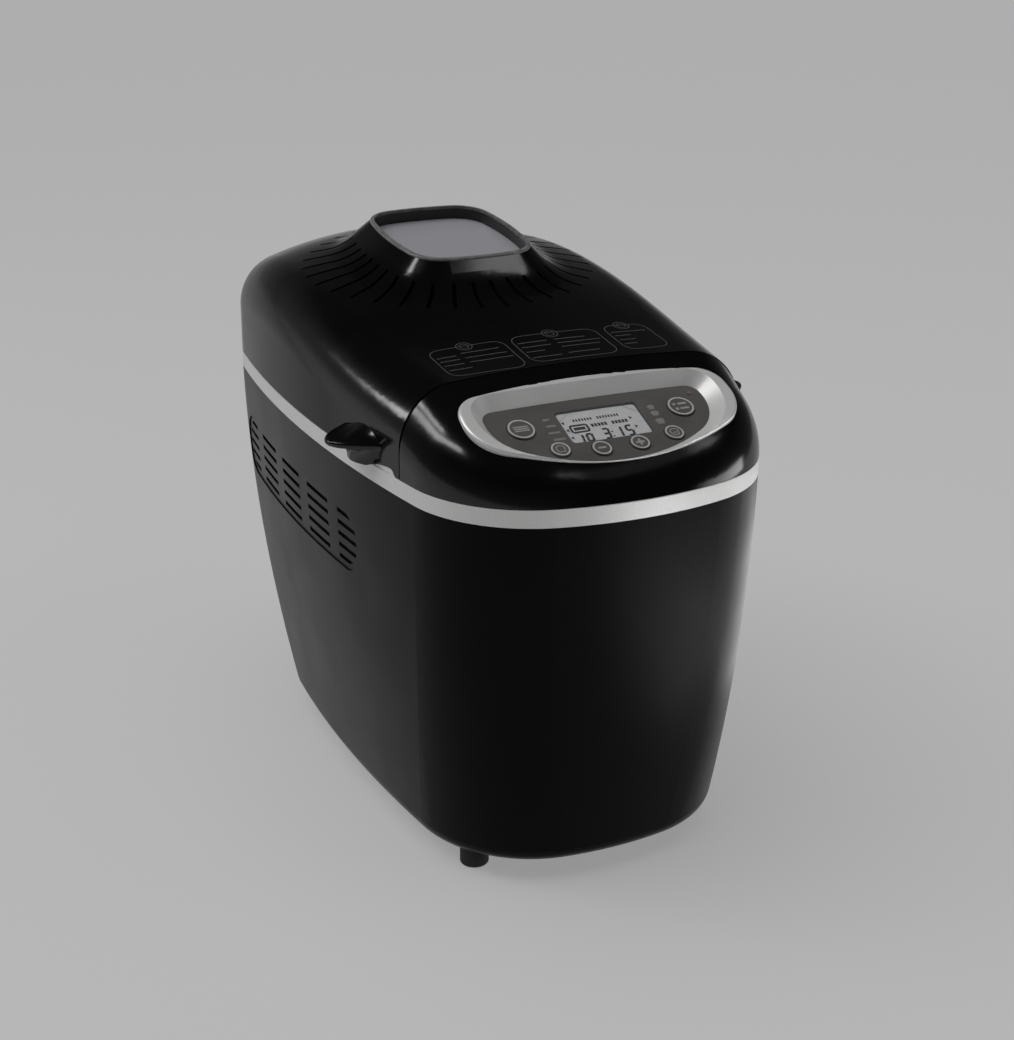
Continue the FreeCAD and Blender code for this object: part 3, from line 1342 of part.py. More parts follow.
# Power board upright in the front bay, with its taller components
pb_z1 = power_board_bottom + power_board_height
half = 0.5 * power_board_width
power = box(-half, half, power_board_y, power_board_y + power_board_thickness, power_board_bottom, pb_z1)
front_face = power_board_y
bits = [
    box(-36.0, -12.0, front_face - 20.0, front_face, power_board_bottom + 8.0, power_board_bottom + 36.0),
    box(-4.0, 12.0, front_face - 15.0, front_face, power_board_bottom + 10.0, power_board_bottom + 30.0),
    Part.makeCylinder(6.0, 16.0, V(26.0, front_face - 16.0, power_board_bottom + 20.0), V(0, 1, 0)),
    Part.makeCylinder(5.0, 14.0, V(26.0, front_face - 14.0, power_board_bottom + 40.0), V(0, 1, 0)),
]
ears = []
for sx in (-1.0, 1.0):
    x0 = sx * (half - 6.0)
    ears.append(box(x0 - 4.0, x0 + 4.0, power_board_y + power_board_thickness, chamber_front,
                    pb_z1 - 14.0, pb_z1 - 4.0))
power = fuse([power] + bits + ears)
save("power_board", power)

# Cord inlet in the rear wall: a moulded bush, open through its middle
body = Part.makeCylinder(inlet_radius, 60.0, V(inlet_x, inlet_plan_y - 45.0, inlet_z), V(0, 1, 0))
ring_out = housing(-2.5, foot_height, band_bottom).cut(housing(0.0, foot_height, band_bottom))
collar = Part.makeCylinder(inlet_collar, 60.0, V(inlet_x, inlet_plan_y - 45.0, inlet_z), V(0, 1, 0))
outer_flange = collar.common(ring_out)
ring_in = housing(-2.5, foot_height, band_bottom).cut(housing(shell_wall + 4.0, foot_height, band_bottom))
plug = body.common(ring_in)
bore = Part.makeCylinder(inlet_bore, 80.0, V(inlet_x, inlet_plan_y - 55.0, inlet_z), V(0, 1, 0))
save("cord_inlet", fuse([outer_flange, plug]).cut(bore))
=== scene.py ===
import math

import bpy
import numpy as np
from mathutils import Matrix, Vector


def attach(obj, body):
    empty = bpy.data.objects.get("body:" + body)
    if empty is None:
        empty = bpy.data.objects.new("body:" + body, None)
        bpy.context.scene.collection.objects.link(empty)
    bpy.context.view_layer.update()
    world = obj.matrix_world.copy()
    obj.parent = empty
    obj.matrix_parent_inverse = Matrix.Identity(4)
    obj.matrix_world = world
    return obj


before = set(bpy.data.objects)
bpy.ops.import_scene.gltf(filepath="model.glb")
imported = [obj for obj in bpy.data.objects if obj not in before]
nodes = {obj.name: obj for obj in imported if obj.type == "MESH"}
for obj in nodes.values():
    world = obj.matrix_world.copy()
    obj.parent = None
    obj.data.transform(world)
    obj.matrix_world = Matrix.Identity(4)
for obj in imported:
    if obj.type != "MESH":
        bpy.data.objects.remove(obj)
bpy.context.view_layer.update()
print("frame loaded:", len(nodes), "nodes")

# the camera that fits the photograph, and the light
camera = {
    "place": (-0.4736, -1.0120, 0.5829),
    "aim": (0.01526, -0.00904, 0.15275),
    "roll": 0.465,  # degrees
    "lens": 64.876,
    "sensorWidth": 36.0,
    "clip": (0.05, 60.0),
}


def makeCamera(c):
    # right, up and back vectors of the view, turned by the roll, are the columns of the camera's matrix
    place = Vector(c["place"])
    ahead = (Vector(c["aim"]) - place).normalized()
    right = ahead.cross(Vector((0, 0, 1))).normalized()
    up = right.cross(ahead)
    r = math.radians(c["roll"])
    turnedRight = right * math.cos(r) + up * math.sin(r)
    turnedUp = up * math.cos(r) - right * math.sin(r)
    turn = Matrix((turnedRight, turnedUp, -ahead)).transposed().to_4x4()
    data = bpy.data.cameras.new("photoCamera")
    data.lens = c["lens"]
    data.sensor_width = c["sensorWidth"]
    data.clip_start, data.clip_end = c["clip"]
    eye = bpy.data.objects.new("photoCamera", data)
    eye.matrix_world = Matrix.Translation(place) @ turn
    bpy.context.scene.collection.objects.link(eye)
    bpy.context.scene.camera = eye


makeCamera(camera)

softboxes = {
    # name: place, aim, direction of the long side, length, width, power in watts
    "shoulderStrip": ((-1.20, 0.52, 1.345), (-0.05, -0.08, 0.27), (0.0, -0.79, 0.61), 1.78, 0.22, 8.8),
    "rightFront": ((1.95, -1.08, 0.26), (0.0, -0.10, 0.22), (0.45, 0.89, 0.0), 1.45, 0.46, 9.2),
    "rightCard": ((0.44, -0.08, 0.004), (0.44, -0.08, 1.0), (0.0, 1.0, 0.0), 0.50, 0.40, 0.8),
    "cornerCard": ((0.24, -0.47, 0.004), (0.24, -0.47, 1.0), (0.0, 1.0, 0.0), 0.36, 0.22, 0.75),
    "collarFront": ((0.89, -0.70, 1.72), (0.0, 0.0, 0.32), (0.62, 0.79, 0.0), 1.30, 0.42, 4.6),
    "collarGlint": ((-1.00, 0.46, 1.72), (-0.03, 0.0, 0.32), (0.28, 0.53, 0.0), 0.22, 0.20, 1.3),
}


def makeSoftbox(name, place, aim, along, length, width, power):
    # the lamp shines along its own -Z, with the long side laid as near to "along" as the aim allows
    data = bpy.data.lights.new(name, "AREA")
    data.shape = "RECTANGLE"
    data.size = width
    data.size_y = length
    data.energy = power
    away = (Vector(place) - Vector(aim)).normalized()
    side = (Vector(along) - away * away.dot(Vector(along))).normalized()
    lamp = bpy.data.objects.new(name, data)
    turn = Matrix((side.cross(away), side, away)).transposed().to_4x4()
    lamp.matrix_world = Matrix.Translation(place) @ turn
    lamp.visible_camera = False
    bpy.context.scene.collection.objects.link(lamp)


for name, setup in softboxes.items():
    makeSoftbox(name, *setup)

ceiling = {"power": 2.5, "softness": 70.0, "from": (-0.25, 0.15, 1.0)}


def makeCeiling(c):
    # wide even light from above; the gloss doesn't mirror it
    data = bpy.data.lights.new("ceiling", "SUN")
    data.energy = c["power"]
    data.angle = math.radians(c["softness"])
    lamp = bpy.data.objects.new("ceiling", data)
    lamp.rotation_euler = Vector(c["from"]).to_track_quat("Z", "Y").to_euler()
    lamp.visible_glossy = False
    bpy.context.scene.collection.objects.link(lamp)


makeCeiling(ceiling)

studio = {
    "floorTone": (0.458, 0.458, 0.458, 1.0),  # the grey sweep of the picture
    "floorGlow": 0.64,  # share of the sweep's tone that doesn't depend on the light
    "floorHalf": 16.0,
    "floorHeight": -0.0002,
    # height of the ray's direction, grey
    "sky": ((0.0, 0.40), (0.10, 0.22), (0.36, 0.10), (0.48, 0.05), (0.56, 0.006)),
    # how far the ray points to the rear, share of that grey
    "behind": ((0.0, 0.30), (0.55, 0.35), (0.90, 1.0)),
}


def fillRamp(ramp, steps):
    # grey steps of a colour ramp, as pairs of position and grey
    first, last = ramp.color_ramp.elements
    first.position, first.color = steps[0][0], (steps[0][1],) * 3 + (1.0,)
    last.position, last.color = steps[-1][0], (steps[-1][1],) * 3 + (1.0,)
    for place, grey in steps[1:-1]:
        ramp.color_ramp.elements.new(place).color = (grey, grey, grey, 1.0)


def makeWorld(s):
    # pale at the horizon and dark above it, and paler behind the machine
    world = bpy.data.worlds.new("studio")
    bpy.context.scene.world = world
    world.use_nodes = True
    tree = world.node_tree
    tree.nodes.clear()
    coord = tree.nodes.new("ShaderNodeTexCoord")
    split = tree.nodes.new("ShaderNodeSeparateXYZ")
    sky = tree.nodes.new("ShaderNodeValToRGB")
    rear = tree.nodes.new("ShaderNodeValToRGB")
    back = tree.nodes.new("ShaderNodeBackground")
    out = tree.nodes.new("ShaderNodeOutputWorld")
    tree.links.new(coord.outputs["Generated"], split.inputs[0])
    tree.links.new(split.outputs["Z"], sky.inputs["Fac"])
    tree.links.new(split.outputs["Y"], rear.inputs["Fac"])
    fillRamp(sky, s["sky"])
    fillRamp(rear, s["behind"])
    tree.links.new(sky.outputs["Color"], back.inputs["Color"])
    tree.links.new(rear.outputs["Color"], back.inputs["Strength"])
    tree.links.new(back.outputs[0], out.inputs["Surface"])


makeWorld(studio)


def makeFloor(s):
    # flat sweep a little below the feet: part glows in its own tone, part takes light and shade
    half, z = s["floorHalf"], s["floorHeight"]
    corners = [(-half, -half, z), (half, -half, z), (half, half, z), (-half, half, z)]
    mesh = bpy.data.meshes.new("sweep")
    mesh.from_pydata(corners, [], [(0, 1, 2, 3)])
    floor = bpy.data.objects.new("sweep", mesh)
    bpy.context.scene.collection.objects.link(floor)
    mat = bpy.data.materials.new("sweepGrey")
    mat.use_nodes = True
    tree = mat.node_tree
    tree.nodes.clear()
    out = tree.nodes.new("ShaderNodeOutputMaterial")
    mix = tree.nodes.new("ShaderNodeMixShader")
    glow = tree.nodes.new("ShaderNodeEmission")
    matt = tree.nodes.new("ShaderNodeBsdfDiffuse")
    glow.inputs["Color"].default_value = s["floorTone"]
    matt.inputs["Color"].default_value = s["floorTone"]
    mix.inputs["Fac"].default_value = s["floorGlow"]
    tree.links.new(matt.outputs[0], mix.inputs[1])
    tree.links.new(glow.outputs[0], mix.inputs[2])
    tree.links.new(mix.outputs[0], out.inputs["Surface"])
    mesh.materials.append(mat)


makeFloor(studio)
bpy.context.scene.view_settings.view_transform = "Standard"
print("camera, light and floor ready")


# finishes of the moulded, painted, metal, printed and clear surfaces
octaves = {"cloud": 3.0, "grain": 2.0, "smudge": 4.0}  # of the three noises that every finish has
noiseSpan = (0.3, 0.7)  # the range that most of a noise lies in


def noise(tree, scale, detail, rough=0.5, stretch=(1.0, 1.0, 1.0)):
    # cloud of grey on the piece's own coordinates; stretch draws it out along an axis
    coord = tree.nodes.new("ShaderNodeTexCoord")
    mapping = tree.nodes.new("ShaderNodeMapping")
    mapping.inputs["Scale"].default_value = stretch
    tex = tree.nodes.new("ShaderNodeTexNoise")
    tex.inputs["Scale"].default_value = scale
    tex.inputs["Detail"].default_value = detail
    tex.inputs["Roughness"].default_value = rough
    tree.links.new(coord.outputs["Object"], mapping.inputs["Vector"])
    tree.links.new(mapping.outputs["Vector"], tex.inputs["Vector"])
    return tex.outputs["Fac"]


def spread(tree, value, low, high, span=noiseSpan):
    # the span of the value becomes low to high
    rng = tree.nodes.new("ShaderNodeMapRange")
    rng.inputs["From Min"].default_value, rng.inputs["From Max"].default_value = span
    rng.inputs["To Min"].default_value = low
    rng.inputs["To Max"].default_value = high
    tree.links.new(value, rng.inputs["Value"])
    return rng.outputs["Result"]


def tones(tree, value, dark, light):
    # blend of two colours by a noise
    ramp = tree.nodes.new("ShaderNodeValToRGB")
    first, last = ramp.color_ramp.elements
    first.position, last.position = noiseSpan
    first.color, last.color = (*dark, 1.0), (*light, 1.0)
    tree.links.new(value, ramp.inputs["Fac"])
    return ramp.outputs["Color"]


def stepped(tree, value, steps, socket):
    # grey steps over a value, fed to a shader's socket
    ramp = tree.nodes.new("ShaderNodeValToRGB")
    fillRamp(ramp, steps)
    tree.links.new(value, ramp.inputs["Fac"])
    tree.links.new(ramp.outputs["Color"], socket)


def dent(tree, value, depth, strength):
    # fine bump of the given depth in metres
    bump = tree.nodes.new("ShaderNodeBump")
    bump.inputs["Distance"].default_value = depth
    bump.inputs["Strength"].default_value = strength
    tree.links.new(value, bump.inputs["Height"])
    return bump.outputs["Normal"]


def capped(tree, cloud, direction, layer):
    # painted highlight: dark below and light above a thin layer, by how far a point lies along the
    # direction; the light side stands in for the shine on the rim's top
    coord = tree.nodes.new("ShaderNodeTexCoord")
    along = tree.nodes.new("ShaderNodeVectorMath")
    along.operation = "DOT_PRODUCT"
    along.inputs[1].default_value = direction
    product = tree.nodes.new("ShaderNodeMath")
    product.operation = "MULTIPLY"
    above = spread(tree, along.outputs["Value"], 0.0, 1.0, layer)
    varied = spread(tree, cloud, low=0.5, high=0.75)
    tree.links.new(coord.outputs["Object"], along.inputs[0])
    tree.links.new(above, product.inputs[0])
    tree.links.new(varied, product.inputs[1])
    return product.outputs[0]


def slantOf(tree):
    # 0 where the surface is seen straight on, 1 where it is seen edge-on
    slant = tree.nodes.new("ShaderNodeLayerWeight")
    slant.inputs["Blend"].default_value = 0.5
    return slant.outputs["Facing"]


def offMiddle(tree):
    # distance from the middle plane, in metres
    coord = tree.nodes.new("ShaderNodeTexCoord")
    split = tree.nodes.new("ShaderNodeSeparateXYZ")
    apart = tree.nodes.new("ShaderNodeMath")
    apart.operation = "ABSOLUTE"
    tree.links.new(coord.outputs["Object"], split.inputs[0])
    tree.links.new(split.outputs["X"], apart.inputs[0])
    return apart.outputs[0]


def makeFinish(name, look):
    # two tones, roughness and grain, each from its own noise, then the shine, metal, coat and veil
    mat = bpy.data.materials.new(name)
    mat.use_nodes = True
    tree = mat.node_tree
    shader = tree.nodes["Principled BSDF"]
    cloud = noise(tree, look["cloud"], octaves["cloud"])
    # the rim's top is drawn lighter than the rest: painted highlight
    if "cap" in look:
        cloud = capped(tree, cloud, *look["cap"])
    smudge = noise(tree, look["smudge"], octaves["smudge"])
    grainRough, stretch = look.get("grainRough", 0.6), look.get("stretch", (1.0, 1.0, 1.0))
    grain = noise(tree, look["grain"], octaves["grain"], grainRough, stretch)
    tree.links.new(tones(tree, cloud, look["dark"], look["light"]), shader.inputs["Base Color"])
    tree.links.new(spread(tree, smudge, *look["rough"]), shader.inputs["Roughness"])
    tree.links.new(dent(tree, grain, look["depth"], look["strength"]), shader.inputs["Normal"])
    shine = shader.inputs["Specular IOR Level"]
    if "edgeGloss" in look:
        stepped(tree, slantOf(tree), look["edgeGloss"], shine)
    if "sideGloss" in look:
        stepped(tree, offMiddle(tree), look["sideGloss"], shine)
    shader.inputs["Metallic"].default_value = look.get("metal", 0.0)
    shader.inputs["Coat Weight"].default_value = look.get("coat", 0.0)
    shader.inputs["Coat Roughness"].default_value = look.get("coatRough", 0.1)
    shader.inputs["Alpha"].default_value = look.get("veil", 1.0)  # below 1 lets the view through
    return mat


blackGloss = {
    "dark": (0.0018, 0.0018, 0.0019), "light": (0.0028, 0.0028, 0.0029), "cloud": 8.0, "smudge": 40.0,
    "rough": (0.13, 0.19), "grain": 420.0, "depth": 0.00002, "strength": 0.35,
}
printLook = {
    "cloud": 900.0, "smudge": 200.0, "rough": (0.40, 0.52),
    "grain": 3000.0, "depth": 0.00001, "strength": 0.3,
}
paneLook = {"smudge": 60.0, "grainRough": 0.5, "strength": 0.3}
finishes = {
    "housingSatin": {
        "dark": (0.0026, 0.0026, 0.0027), "light": (0.0036, 0.0036, 0.0037), "cloud": 9.0, "smudge": 26.0,
        "rough": (0.36, 0.42), "grain": 3200.0, "depth": 0.00004, "strength": 0.5,
        "edgeGloss": ((0.20, 0.06), (0.54, 0.09), (0.66, 0.20), (0.78, 0.38)),
    },
    "lidGloss": {**blackGloss, "edgeGloss": ((0.46, 0.5), (0.64, 0.08))},
    "frameRim": {
        "dark": (0.006, 0.006, 0.006), "light": (0.12, 0.12, 0.12), "cloud": 200.0, "smudge": 60.0,
        "rough": (0.26, 0.34), "grain": 1800.0, "depth": 0.00001, "strength": 0.4,
        # the light grey above the layer is a painted highlight on the rim's top; below it the frame is
        # black
        "cap": ((0.0, -0.1132, 0.9936), (0.3206, 0.3213)),
    },
    "fasciaGloss": {**blackGloss, "sideGloss": ((0.030, 0.03), (0.060, 0.5))},
    "silverPaint": {
        "dark": (0.60, 0.60, 0.595), "light": (0.72, 0.72, 0.715), "cloud": 2600.0, "smudge": 30.0,
        "rough": (0.34, 0.42), "grain": 3800.0, "depth": 0.00003, "strength": 0.5, "metal": 0.55,
        "stretch": (0.05, 0.05, 1.0),
    },
    "panelBrown": {
        "dark": (0.052, 0.049, 0.046), "light": (0.066, 0.062, 0.058), "cloud": 60.0, "smudge": 80.0,
        "rough": (0.36, 0.46), "grain": 4200.0, "depth": 0.00003, "strength": 0.5,
    },
    "softBlack": {
        "dark": (0.006, 0.006, 0.006), "light": (0.011, 0.011, 0.011), "cloud": 120.0, "smudge": 90.0,
        "rough": (0.62, 0.78), "grain": 2400.0, "depth": 0.00006, "strength": 0.8,
    },
    "innerGrey": {
        "dark": (0.085, 0.086, 0.088), "light": (0.105, 0.106, 0.108), "cloud": 30.0, "smudge": 60.0,
        "rough": (0.42, 0.55), "grain": 2800.0, "depth": 0.00005, "strength": 0.6,
    },
    "sheetSteel": {
        "dark": (0.44, 0.445, 0.45), "light": (0.56, 0.565, 0.57), "cloud": 70.0, "smudge": 45.0,
        "rough": (0.24, 0.40), "grain": 900.0, "depth": 0.00002, "strength": 0.5, "metal": 0.55,
        "stretch": (1.0, 0.06, 1.0),
    },
    "turnedSteel": {
        "dark": (0.50, 0.50, 0.51), "light": (0.62, 0.62, 0.63), "cloud": 160.0, "smudge": 120.0,
        "rough": (0.16, 0.30), "grain": 2400.0, "depth": 0.00002, "strength": 0.5, "metal": 0.65,
        "stretch": (0.12, 0.12, 1.0),
    },
    "panCoating": {
        "dark": (0.024, 0.024, 0.0245), "light": (0.042, 0.042, 0.043), "cloud": 1500.0, "smudge": 70.0,
        "rough": (0.30, 0.46), "grain": 1300.0, "depth": 0.00004, "strength": 0.6,
        "coat": 0.15, "coatRough": 0.3,
    },
    "motorPaint": {
        "dark": (0.060, 0.060, 0.062), "light": (0.085, 0.085, 0.088), "cloud": 90.0, "smudge": 70.0,
        "rough": (0.34, 0.50), "grain": 2200.0, "depth": 0.00003, "strength": 0.5, "metal": 0.7,
    },
    "boardGreen": {
        "dark": (0.006, 0.045, 0.012), "light": (0.010, 0.070, 0.020), "cloud": 420.0, "smudge": 60.0,
        "rough": (0.28, 0.42), "grain": 1500.0, "depth": 0.00004, "strength": 0.5,
    },
    "ceramicWhite": {
        "dark": (0.60, 0.58, 0.53), "light": (0.70, 0.68, 0.63), "cloud": 300.0, "smudge": 150.0,
        "rough": (0.40, 0.60), "grain": 3000.0, "depth": 0.00005, "strength": 0.6,
    },
    "sinteredBronze": {
        "dark": (0.30, 0.17, 0.065), "light": (0.42, 0.26, 0.11), "cloud": 1400.0, "smudge": 200.0,
        "rough": (0.34, 0.52), "grain": 3600.0, "depth": 0.00004, "strength": 0.7, "metal": 0.65,
    },
    "displayGrey": {
        "dark": (0.375, 0.378, 0.380), "light": (0.400, 0.403, 0.405), "cloud": 900.0, "smudge": 60.0,
        "rough": (0.30, 0.36), "grain": 3000.0, "depth": 0.00001, "strength": 0.3,
    },
    "ringPrint": {**printLook, "dark": (0.26, 0.255, 0.25), "light": (0.31, 0.305, 0.30)},
    "signPrint": {**printLook, "dark": (0.18, 0.177, 0.174), "light": (0.215, 0.212, 0.208)},
    "faintPrint": {**printLook, "dark": (0.115, 0.113, 0.110), "light": (0.140, 0.138, 0.135)},
    "lidInk": {
        **printLook, "dark": (0.040, 0.040, 0.041), "light": (0.055, 0.055, 0.056), "cloud": 700.0,
        "rough": (0.34, 0.46), "grain": 2600.0,
    },
    "displayInk": {
        **printLook, "dark": (0.007, 0.007, 0.008), "light": (0.011, 0.011, 0.012),
        "rough": (0.40, 0.55), "grain": 2600.0,
    },
    "lampRed": {
        "dark": (0.105, 0.080, 0.077), "light": (0.135, 0.098, 0.094), "cloud": 900.0, "smudge": 300.0,
        "rough": (0.14, 0.22), "grain": 2500.0, "depth": 0.00001, "strength": 0.3,
    },
    # clear panes drawn as a grey veil over the view; the grey is a painted reflection on the glass
    "windowPane": {
        **paneLook, "dark": (0.295, 0.290, 0.315), "light": (0.315, 0.310, 0.335), "cloud": 14.0,
        "rough": (0.05, 0.10), "grain": 60.0, "depth": 0.00002, "veil": 0.72,
    },
    "displayCover": {
        **paneLook, "dark": (0.30, 0.30, 0.32), "light": (0.31, 0.31, 0.33), "cloud": 40.0,
        "rough": (0.10, 0.14), "grain": 300.0, "depth": 0.000002, "veil": 0.08,
    },
}
made = {name: makeFinish(name, look) for name, look in finishes.items()}

wears = {
    "housingSatin": ["body_shell", "vent_grille_right", "vent_grille_left", "base_plate"],
    "lidGloss": ["lid_shell", "hinge_block"],
    "frameRim": ["window_frame"],
    "fasciaGloss": ["front_fascia"],
    "silverPaint": ["trim_band", "bezel_ring"],
    "panelBrown": ["control_panel", "key_menu", "key_start", "key_colour", "key_minus", "key_plus",
                   "key_weight"],
    "softBlack": ["feet", "belt_lower", "belt_upper", "cord_inlet"],
    "innerGrey": ["top_deck", "lid_liner", "pulley_front", "pulley_rear", "motor_pulley"],
    "sheetSteel": ["baking_chamber", "pan_supports", "motor_bracket", "element_clips"],
    "turnedSteel": ["base_screws", "hinge_pin", "pan_bail", "knead_shaft_front", "knead_shaft_rear",
                    "drive_shaft_front", "drive_shaft_rear", "motor_shaft", "heating_element",
                    "temperature_sensor"],
    "panCoating": ["bread_pan", "paddle_front", "paddle_rear"],
    "motorPaint": ["motor"],
    "boardGreen": ["control_board", "power_board"],
    "ceramicWhite": ["element_insulators"],
    "sinteredBronze": ["pan_bushes", "drive_bearings"],
    "displayGrey": ["display_module"],
    "lampRed": ["status_lamp"],
    "windowPane": ["window_pane", "inner_pane"],
    "displayCover": ["display_window"],
}
for finish, names in wears.items():
    for nodeName in names:
        slots = nodes[nodeName].data.materials
        slots.clear()
        slots.append(made[finish])
print("finishes on", sum(len(n) for n in wears.values()), "nodes")

# printed marks: thin raised sheets made of flat bands, on the panel, the keys, the display and the lid
mm = 0.001
printThickness = 0.05 * mm
cornerPoints = 9


def ribbon(path, width, closed=False):
    # band along a flat path: every point is set off by half the width to both sides, along its normal
    path = np.asarray(path, float)
    ahead = np.roll(path, -1, 0) - np.roll(path, 1, 0) if closed else np.gradient(path, axis=0)
    ahead = ahead / np.linalg.norm(ahead, axis=1)[:, None]
    side = np.stack((-ahead[:, 1], ahead[:, 0]), 1) * (0.5 * np.broadcast_to(width, len(path)))[:, None]
    here = np.arange(len(path) if closed else len(path) - 1)
    after = (here + 1) % len(path)
    faces = np.stack((here, here + len(path), after + len(path), after), 1)
    return np.concatenate((path + side, path - side)), faces


def evenly(path, step, closed=False):
    # the same path with a point about every step along its length
    path = np.asarray(path, float)
    path = np.concatenate((path, path[:1])) if closed else path
    run = np.concatenate(([0.0], np.cumsum(np.linalg.norm(np.diff(path, axis=0), axis=1))))
    at = np.linspace(0.0, run[-1], max(2, int(np.ceil(run[-1] / step)) + 1))
    even = np.stack((np.interp(at, run, path[:, 0]), np.interp(at, run, path[:, 1])), 1)
    return even[:-1] if closed else even


def arc(x, y, radiusX, radiusY, start, end, count):
    # points on an ellipse between two angles in degrees
    turn = np.radians(np.linspace(start, end, count))
    return np.stack((x + radiusX * np.cos(turn), y + radiusY * np.sin(turn)), 1)


def roundFrame(x0, x1, y0, y1, radius):
    # a quarter arc at each corner, joined by the straight sides
    corners = ((x1 - radius, y1 - radius, 0), (x0 + radius, y1 - radius, 90),
               (x0 + radius, y0 + radius, 180), (x1 - radius, y0 + radius, 270))
    return np.concatenate([arc(x, y, radius, radius, a, a + 90, cornerPoints) for x, y, a in corners])


def bar(x0, x1, y, height):
    # straight band along X; two heights taper it from its left to its right end
    return ribbon(((x0, y), (x1, y)), height)


def ring(x, y, radius, width, count):
    # closed round band
    return ribbon(arc(x, y, radius, radius, 0.0, 360.0 - 360.0 / count, count), width, True)


def outline(path, width, step):
    # closed band along any path
    return ribbon(evenly(path, step, True), width, True)


def joined(bands):
    # one set of points and faces out of several bands
    starts = np.cumsum([0] + [len(points) for points, _ in bands[:-1]])
    return (np.concatenate([points for points, _ in bands]),
            np.concatenate([faces + start for (_, faces), start in zip(bands, starts)]))


def printed(name, points, faces, finish, body):
    # the bands as one thin piece, half of it above the printed face
    mesh = bpy.data.meshes.new(name)
    mesh.from_pydata(points.tolist(), [], faces.tolist())
    mesh.materials.append(made[finish])
    piece = bpy.data.objects.new(name, mesh)
    bpy.context.scene.collection.objects.link(piece)
    thick = piece.modifiers.new("thickness", "SOLIDIFY")
    thick.thickness = printThickness
    thick.offset = 0.0
    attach(piece, body)


panel = {
    "y": -0.162, "z": 0.26508, "slope": 22.7,  # the panel's middle in metres, degrees
    "keyLift": 1.11, "markLift": 0.01, "inkLift": -1.24,  # printed faces above or below it, in millimetres
}


def onPanel(points, lift):
    # from millimetres across (u) and up (w) the sloping panel, and above it, to the row frame
    t = math.radians(panel["slope"])
    u, w = mm * points.T
    n = mm * lift
    y = panel["y"] + w * math.cos(t) - n * math.sin(t)
    z = panel["z"] + w * math.sin(t) + n * math.cos(t)
    return np.stack((u, y, z), 1)


loaf = {
    # shares of the sign's size: crown's half width and height, its rise, tin's half width and foot
    "crown": (0.62, 0.5), "rise": 0.15, "tin": (0.45, 0.6),
    "crownTurn": (-20, 200), "crownPoints": 25,  # degrees round the crown's ellipse
    # filled sign: crown's width and half height, its rise, tin's width, square of the least width
    "fullCrown": (1.24, 0.46), "fullRise": 0.05, "fullTin": 0.92, "tip": 0.0004, "rows": 15,
}


def loafSign(u, w, size):
    # side of a loaf: a domed crown on a straight tin
    (across, up), (half, foot) = loaf["crown"], loaf["tin"]
    middle = w + loaf["rise"] * size
    crown = arc(u, middle, across * size, up * size, *loaf["crownTurn"], loaf["crownPoints"])
    tin = np.array(((u - half * size, w - foot * size), (u + half * size, w - foot * size)))
    return np.concatenate((crown, tin))


def fullLoaf(u, w, size):
    # a band that runs upwards, as wide as the tin and then as the crown's ellipse at each height
    (width, up), count = loaf["fullCrown"], loaf["rows"]
    h = np.linspace(-0.5, 0.5, count)
    crown = width * np.sqrt(np.clip(1.0 - ((h - loaf["fullRise"]) / up) ** 2, loaf["tip"], 1.0))
    wide = np.where(h < 0.0, loaf["fullTin"], crown)
    return ribbon(np.stack((np.full(count, u), w + size * h), 1), size * wide)


keyMarks = {
    # key: centre across and up the panel, radius of the ring, its width
    "key_menu": (-49.5, 4.3, 7.0, 1.0),
    "key_start": (49.5, 4.3, 7.0, 1.0),
    "key_colour": (-35.0, -15.5, 4.85, 0.9),
    "key_minus": (-11.7, -19.2, 4.85, 0.9),
    "key_plus": (11.7, -19.2, 4.85, 0.9),
    "key_weight": (35.0, -15.5, 4.85, 0.9),
}
keySigns = {
    # bars from the key's centre: left, right, place upwards, height or the heights of both ends
    "key_menu": ((-4.4, 4.4, 1.6, 0.95), (-4.4, 4.4, 0.0, 0.95), (-4.4, 4.4, -1.6, 0.95)),
    "key_start": ((-4.4, -2.2, 2.0, (2.6, 0.05)), (-1.2, 4.2, 2.0, 1.5),
                  (-4.2, -2.3, -2.0, 2.0), (-1.2, 4.2, -2.0, 1.5)),
    "key_colour": (),
    "key_minus": ((-2.4, 2.4, 0.0, 1.35),),
    "key_plus": ((-2.5, -0.675, 0.0, 1.35), (0.675, 2.5, 0.0, 1.35), (-0.675, 0.675, 0.0, 5.0)),
    "key_weight": ((-1.1, 1.1, -0.5, 0.7),),
}
keyLoaf = {"keys": ("key_colour", "key_weight"), "size": 4.0, "line": 0.6, "step": 0.4}
ringPoints = 144


def keySign(key, u, w):
    # the key's bars, after the outline of a loaf where it has one
    sign = [bar(u + x0, u + x1, w + y, height) for x0, x1, y, height in keySigns[key]]
    if key in keyLoaf["keys"]:
        sign.insert(0, outline(loafSign(u, w, keyLoaf["size"]), keyLoaf["line"], keyLoaf["step"]))
    return joined(sign)


for key, (u, w, radius, width) in keyMarks.items():
    points, faces = ring(u, w, radius, width, ringPoints)
    printed(key + "Ring", onPanel(points, panel["keyLift"]), faces, "ringPrint", key)
    points, faces = keySign(key, u, w)
    printed(key + "Sign", onPanel(points, panel["keyLift"]), faces, "signPrint", key)
print("rings and signs on", len(keyMarks), "keys")

panelMarks = {
    # short bars left of the display: start across, height up the panel, length
    "bars": ((-34.2, 9.6, 4.0), (-34.3, 4.2, 5.6), (-35.4, -1.3, 7.0), (-34.8, -6.9, 7.0)),
    "barHeight": 1.5,
    # loaf sides right of it: middle across, middle up the panel, size
    "loaves": ((32.3, 8.0, 3.6), (32.2, 2.6, 4.2), (32.2, -4.2, 4.6)),
}
marks = [bar(u, u + length, w, panelMarks["barHeight"]) for u, w, length in panelMarks["bars"]]
marks += [fullLoaf(*place) for place in panelMarks["loaves"]]
points, faces = joined(marks)
printed("panelMarks", onPanel(points, panel["markLift"]), faces, "faintPrint", "housing")

